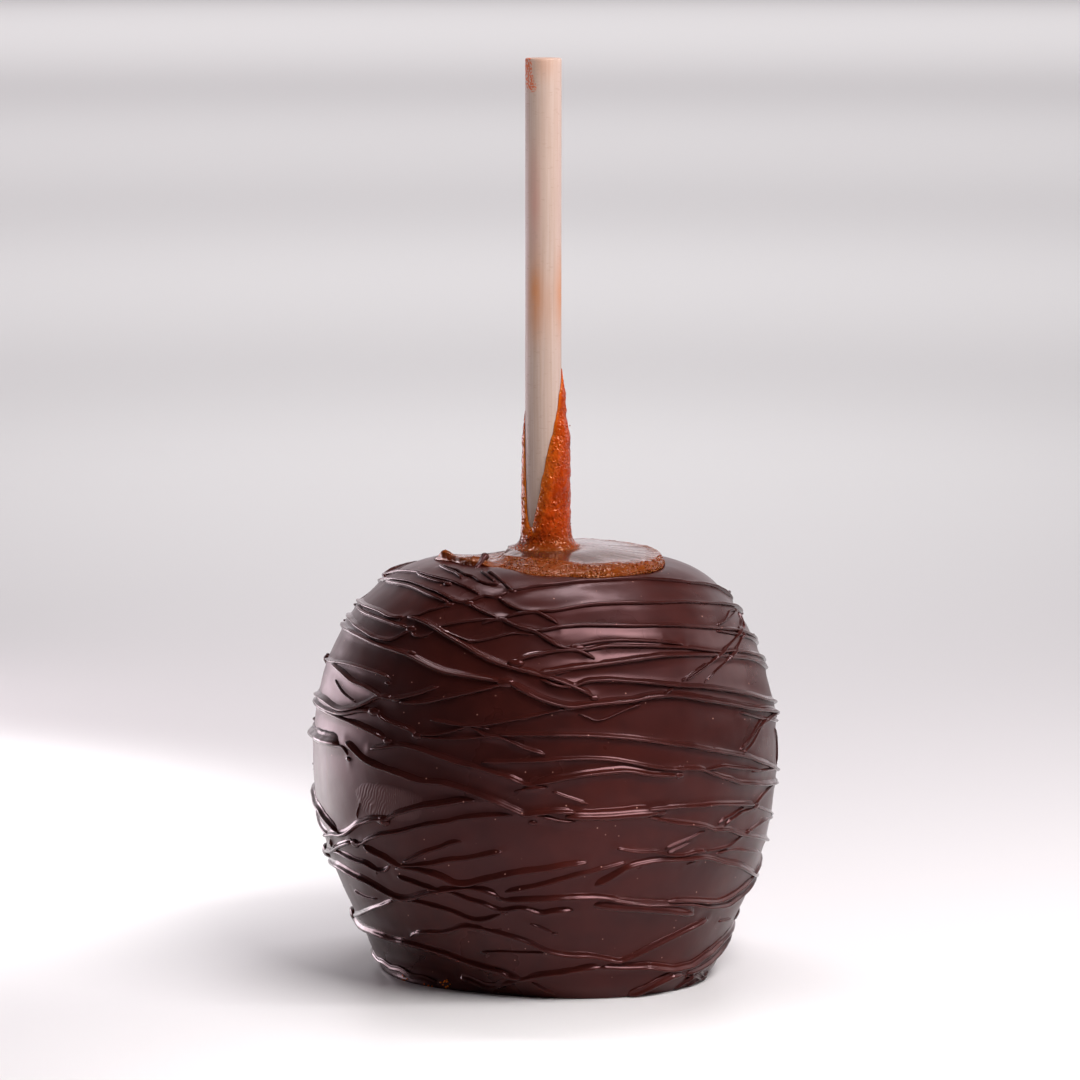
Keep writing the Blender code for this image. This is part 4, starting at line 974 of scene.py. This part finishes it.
# ---- Setting: a plain pale floor, soft studio light from the left behind, the right and above, and
# the camera at the photograph's height and distance. Four wide lights, one beyond another behind the
# apple and clear of it, keep the floor as pale far off as it is near.
CAMERA = (-0.88, -867.0, 184.0)
AIM = (-0.88, 0.0, 76.0)
LENS = 165.1
FLOOR_SIZE = 30.0
FLOOR_WHITE = (0.7, 0.69, 0.69, 1)
DIM = (0.02, 0.0195, 0.021)
LAMP_SIZE = 0.04
SOFT_LIGHTS = [  # degrees round and up, tightness, radiance, tint
    (180, 3, 10.0, 0.62, (1.0, 0.93, 0.98)),
    (-150, 3, 10.0, 0.92, (1.0, 0.9, 0.95)),
    (150, 3, 10.0, 0.7, (1.0, 0.93, 0.96)),
    (60, 44, 9.0, 0.55, (1.0, 0.84, 0.9)),
]
SOFTBOXES = [  # degrees round and up, metres away, height aimed at, size, radiance, colour
    ("left_panel", -124, 4, 0.37, 0.04, (0.3, 0.11), 6.5, (1.0, 0.84, 0.92)),
    ("right_panel", 106, 24, 0.42, 0.01, (0.3, 0.16), 2.2, (1.0, 0.92, 0.93)),
    ("key_box", 46, 54, 0.45, 0.05, (0.3, 0.13), 19.0, (1.0, 0.97, 0.97)),
    ("top_box", 176, 72, 0.6, 0.05, (0.36, 0.03), 45.0, (1.0, 0.96, 1.0)),
]
SPOTLIGHTS = [  # place, place aimed at, degrees wide, watts
    ("stick_light", (-0.6, -0.28, 0.32), (0, 0, 0.132), 9, 6.0),
    ("floor_light_left", (-0.4, 0.42, 0.42), (-0.17, 0.14, 0), 25, 45.0),
    ("floor_light_near", (0, 0.7, 0.63), (0, 0.7, 0), 90, 7.5),
    ("floor_light_behind", (0, 1.4, 1.26), (0, 1.4, 0), 90, 33.5),
    ("floor_light_far", (0, 2.8, 2.52), (0, 2.8, 0), 90, 145.0),
    ("floor_light_farthest", (0, 8.0, 7.2), (0, 8.0, 0), 90, 1860.0),
    ("floor_light_front", (0.36, -0.12, 0.25), (0.02, -0.09, 0), 14, 11.0),
]


def towards(turn, height):
    """The direction turn degrees round from the front and height degrees up."""
    turn, height = radians(turn), radians(height)
    return Vector((sin(turn) * cos(height), -cos(turn) * cos(height), sin(height)))


def set_up(name, thing, place, at):
    """A light or the camera put in its place and aimed."""
    holder = bpy.data.objects.new(name, thing)
    holder.location = place
    holder.rotation_euler = (Vector(at) - holder.location).to_track_quat("-Z", "Y").to_euler()
    bpy.context.scene.collection.objects.link(holder)
    return holder


bm = bmesh.new()
bmesh.ops.create_grid(bm, x_segments=1, y_segments=1, size=FLOOR_SIZE)
mesh = bpy.data.meshes.new("studio_floor")
bm.to_mesh(mesh)
bm.free()
studio_floor = bpy.data.objects.new("studio_floor", mesh)
bpy.context.scene.collection.objects.link(studio_floor)
paper, tree, shader, place = finish("pale_paper", 0.4, Specular_IOR_Level=0.5, Base_Color=FLOOR_WHITE)
mesh.materials.append(paper)

# the light all round: dim, with a soft glow towards each of the soft lights
world = bpy.data.worlds.new("studio")
world.use_nodes = True
tree = world.node_tree
facing = node(tree, "TexCoord").outputs["Generated"]
glow = DIM
for turn, height, tight, radiance, tint in SOFT_LIGHTS:
    near = node(tree, "VectorMath", {0: facing, 1: towards(turn, height)}, operation="DOT_PRODUCT")
    near = node(tree, "Math", {0: near.outputs["Value"], 1: tight, 2: -tight}, operation="MULTIPLY_ADD")
    near = node(tree, "Math", {0: near.outputs[0]}, operation="EXPONENT").outputs[0]
    colour = [radiance * part for part in tint]
    lit = node(tree, "VectorMath", {0: colour, "Scale": near}, operation="SCALE").outputs[0]
    glow = node(tree, "VectorMath", {0: glow, 1: lit}, operation="ADD").outputs[0]
tree.links.new(glow, tree.nodes["Background"].inputs[0])
bpy.context.scene.world = world

for name, turn, height, away, aim, size, radiance, colour in SOFTBOXES:
    lamp = bpy.data.lights.new(name, "AREA")
    lamp.shape = "RECTANGLE"
    lamp.size, lamp.size_y = size
    lamp.energy = radiance * pi * size[0] * size[1]
    lamp.color = colour
    set_up(name, lamp, towards(turn, height) * away, (0, 0, aim)).visible_camera = False

for name, place, at, cone, power in SPOTLIGHTS:
    lamp = bpy.data.lights.new(name, "SPOT")
    lamp.energy = power
    lamp.spot_size = radians(cone)
    lamp.spot_blend = 1.0
    lamp.shadow_soft_size = LAMP_SIZE
    set_up(name, lamp, place, at)

eye = bpy.data.cameras.new("eye")
eye.lens = LENS
eye.sensor_width = 36.0
camera = set_up("eye", eye, [part * MM for part in CAMERA], [part * MM for part in AIM])
bpy.context.scene.camera = camera
bpy.context.scene.view_settings.view_transform = "Standard"
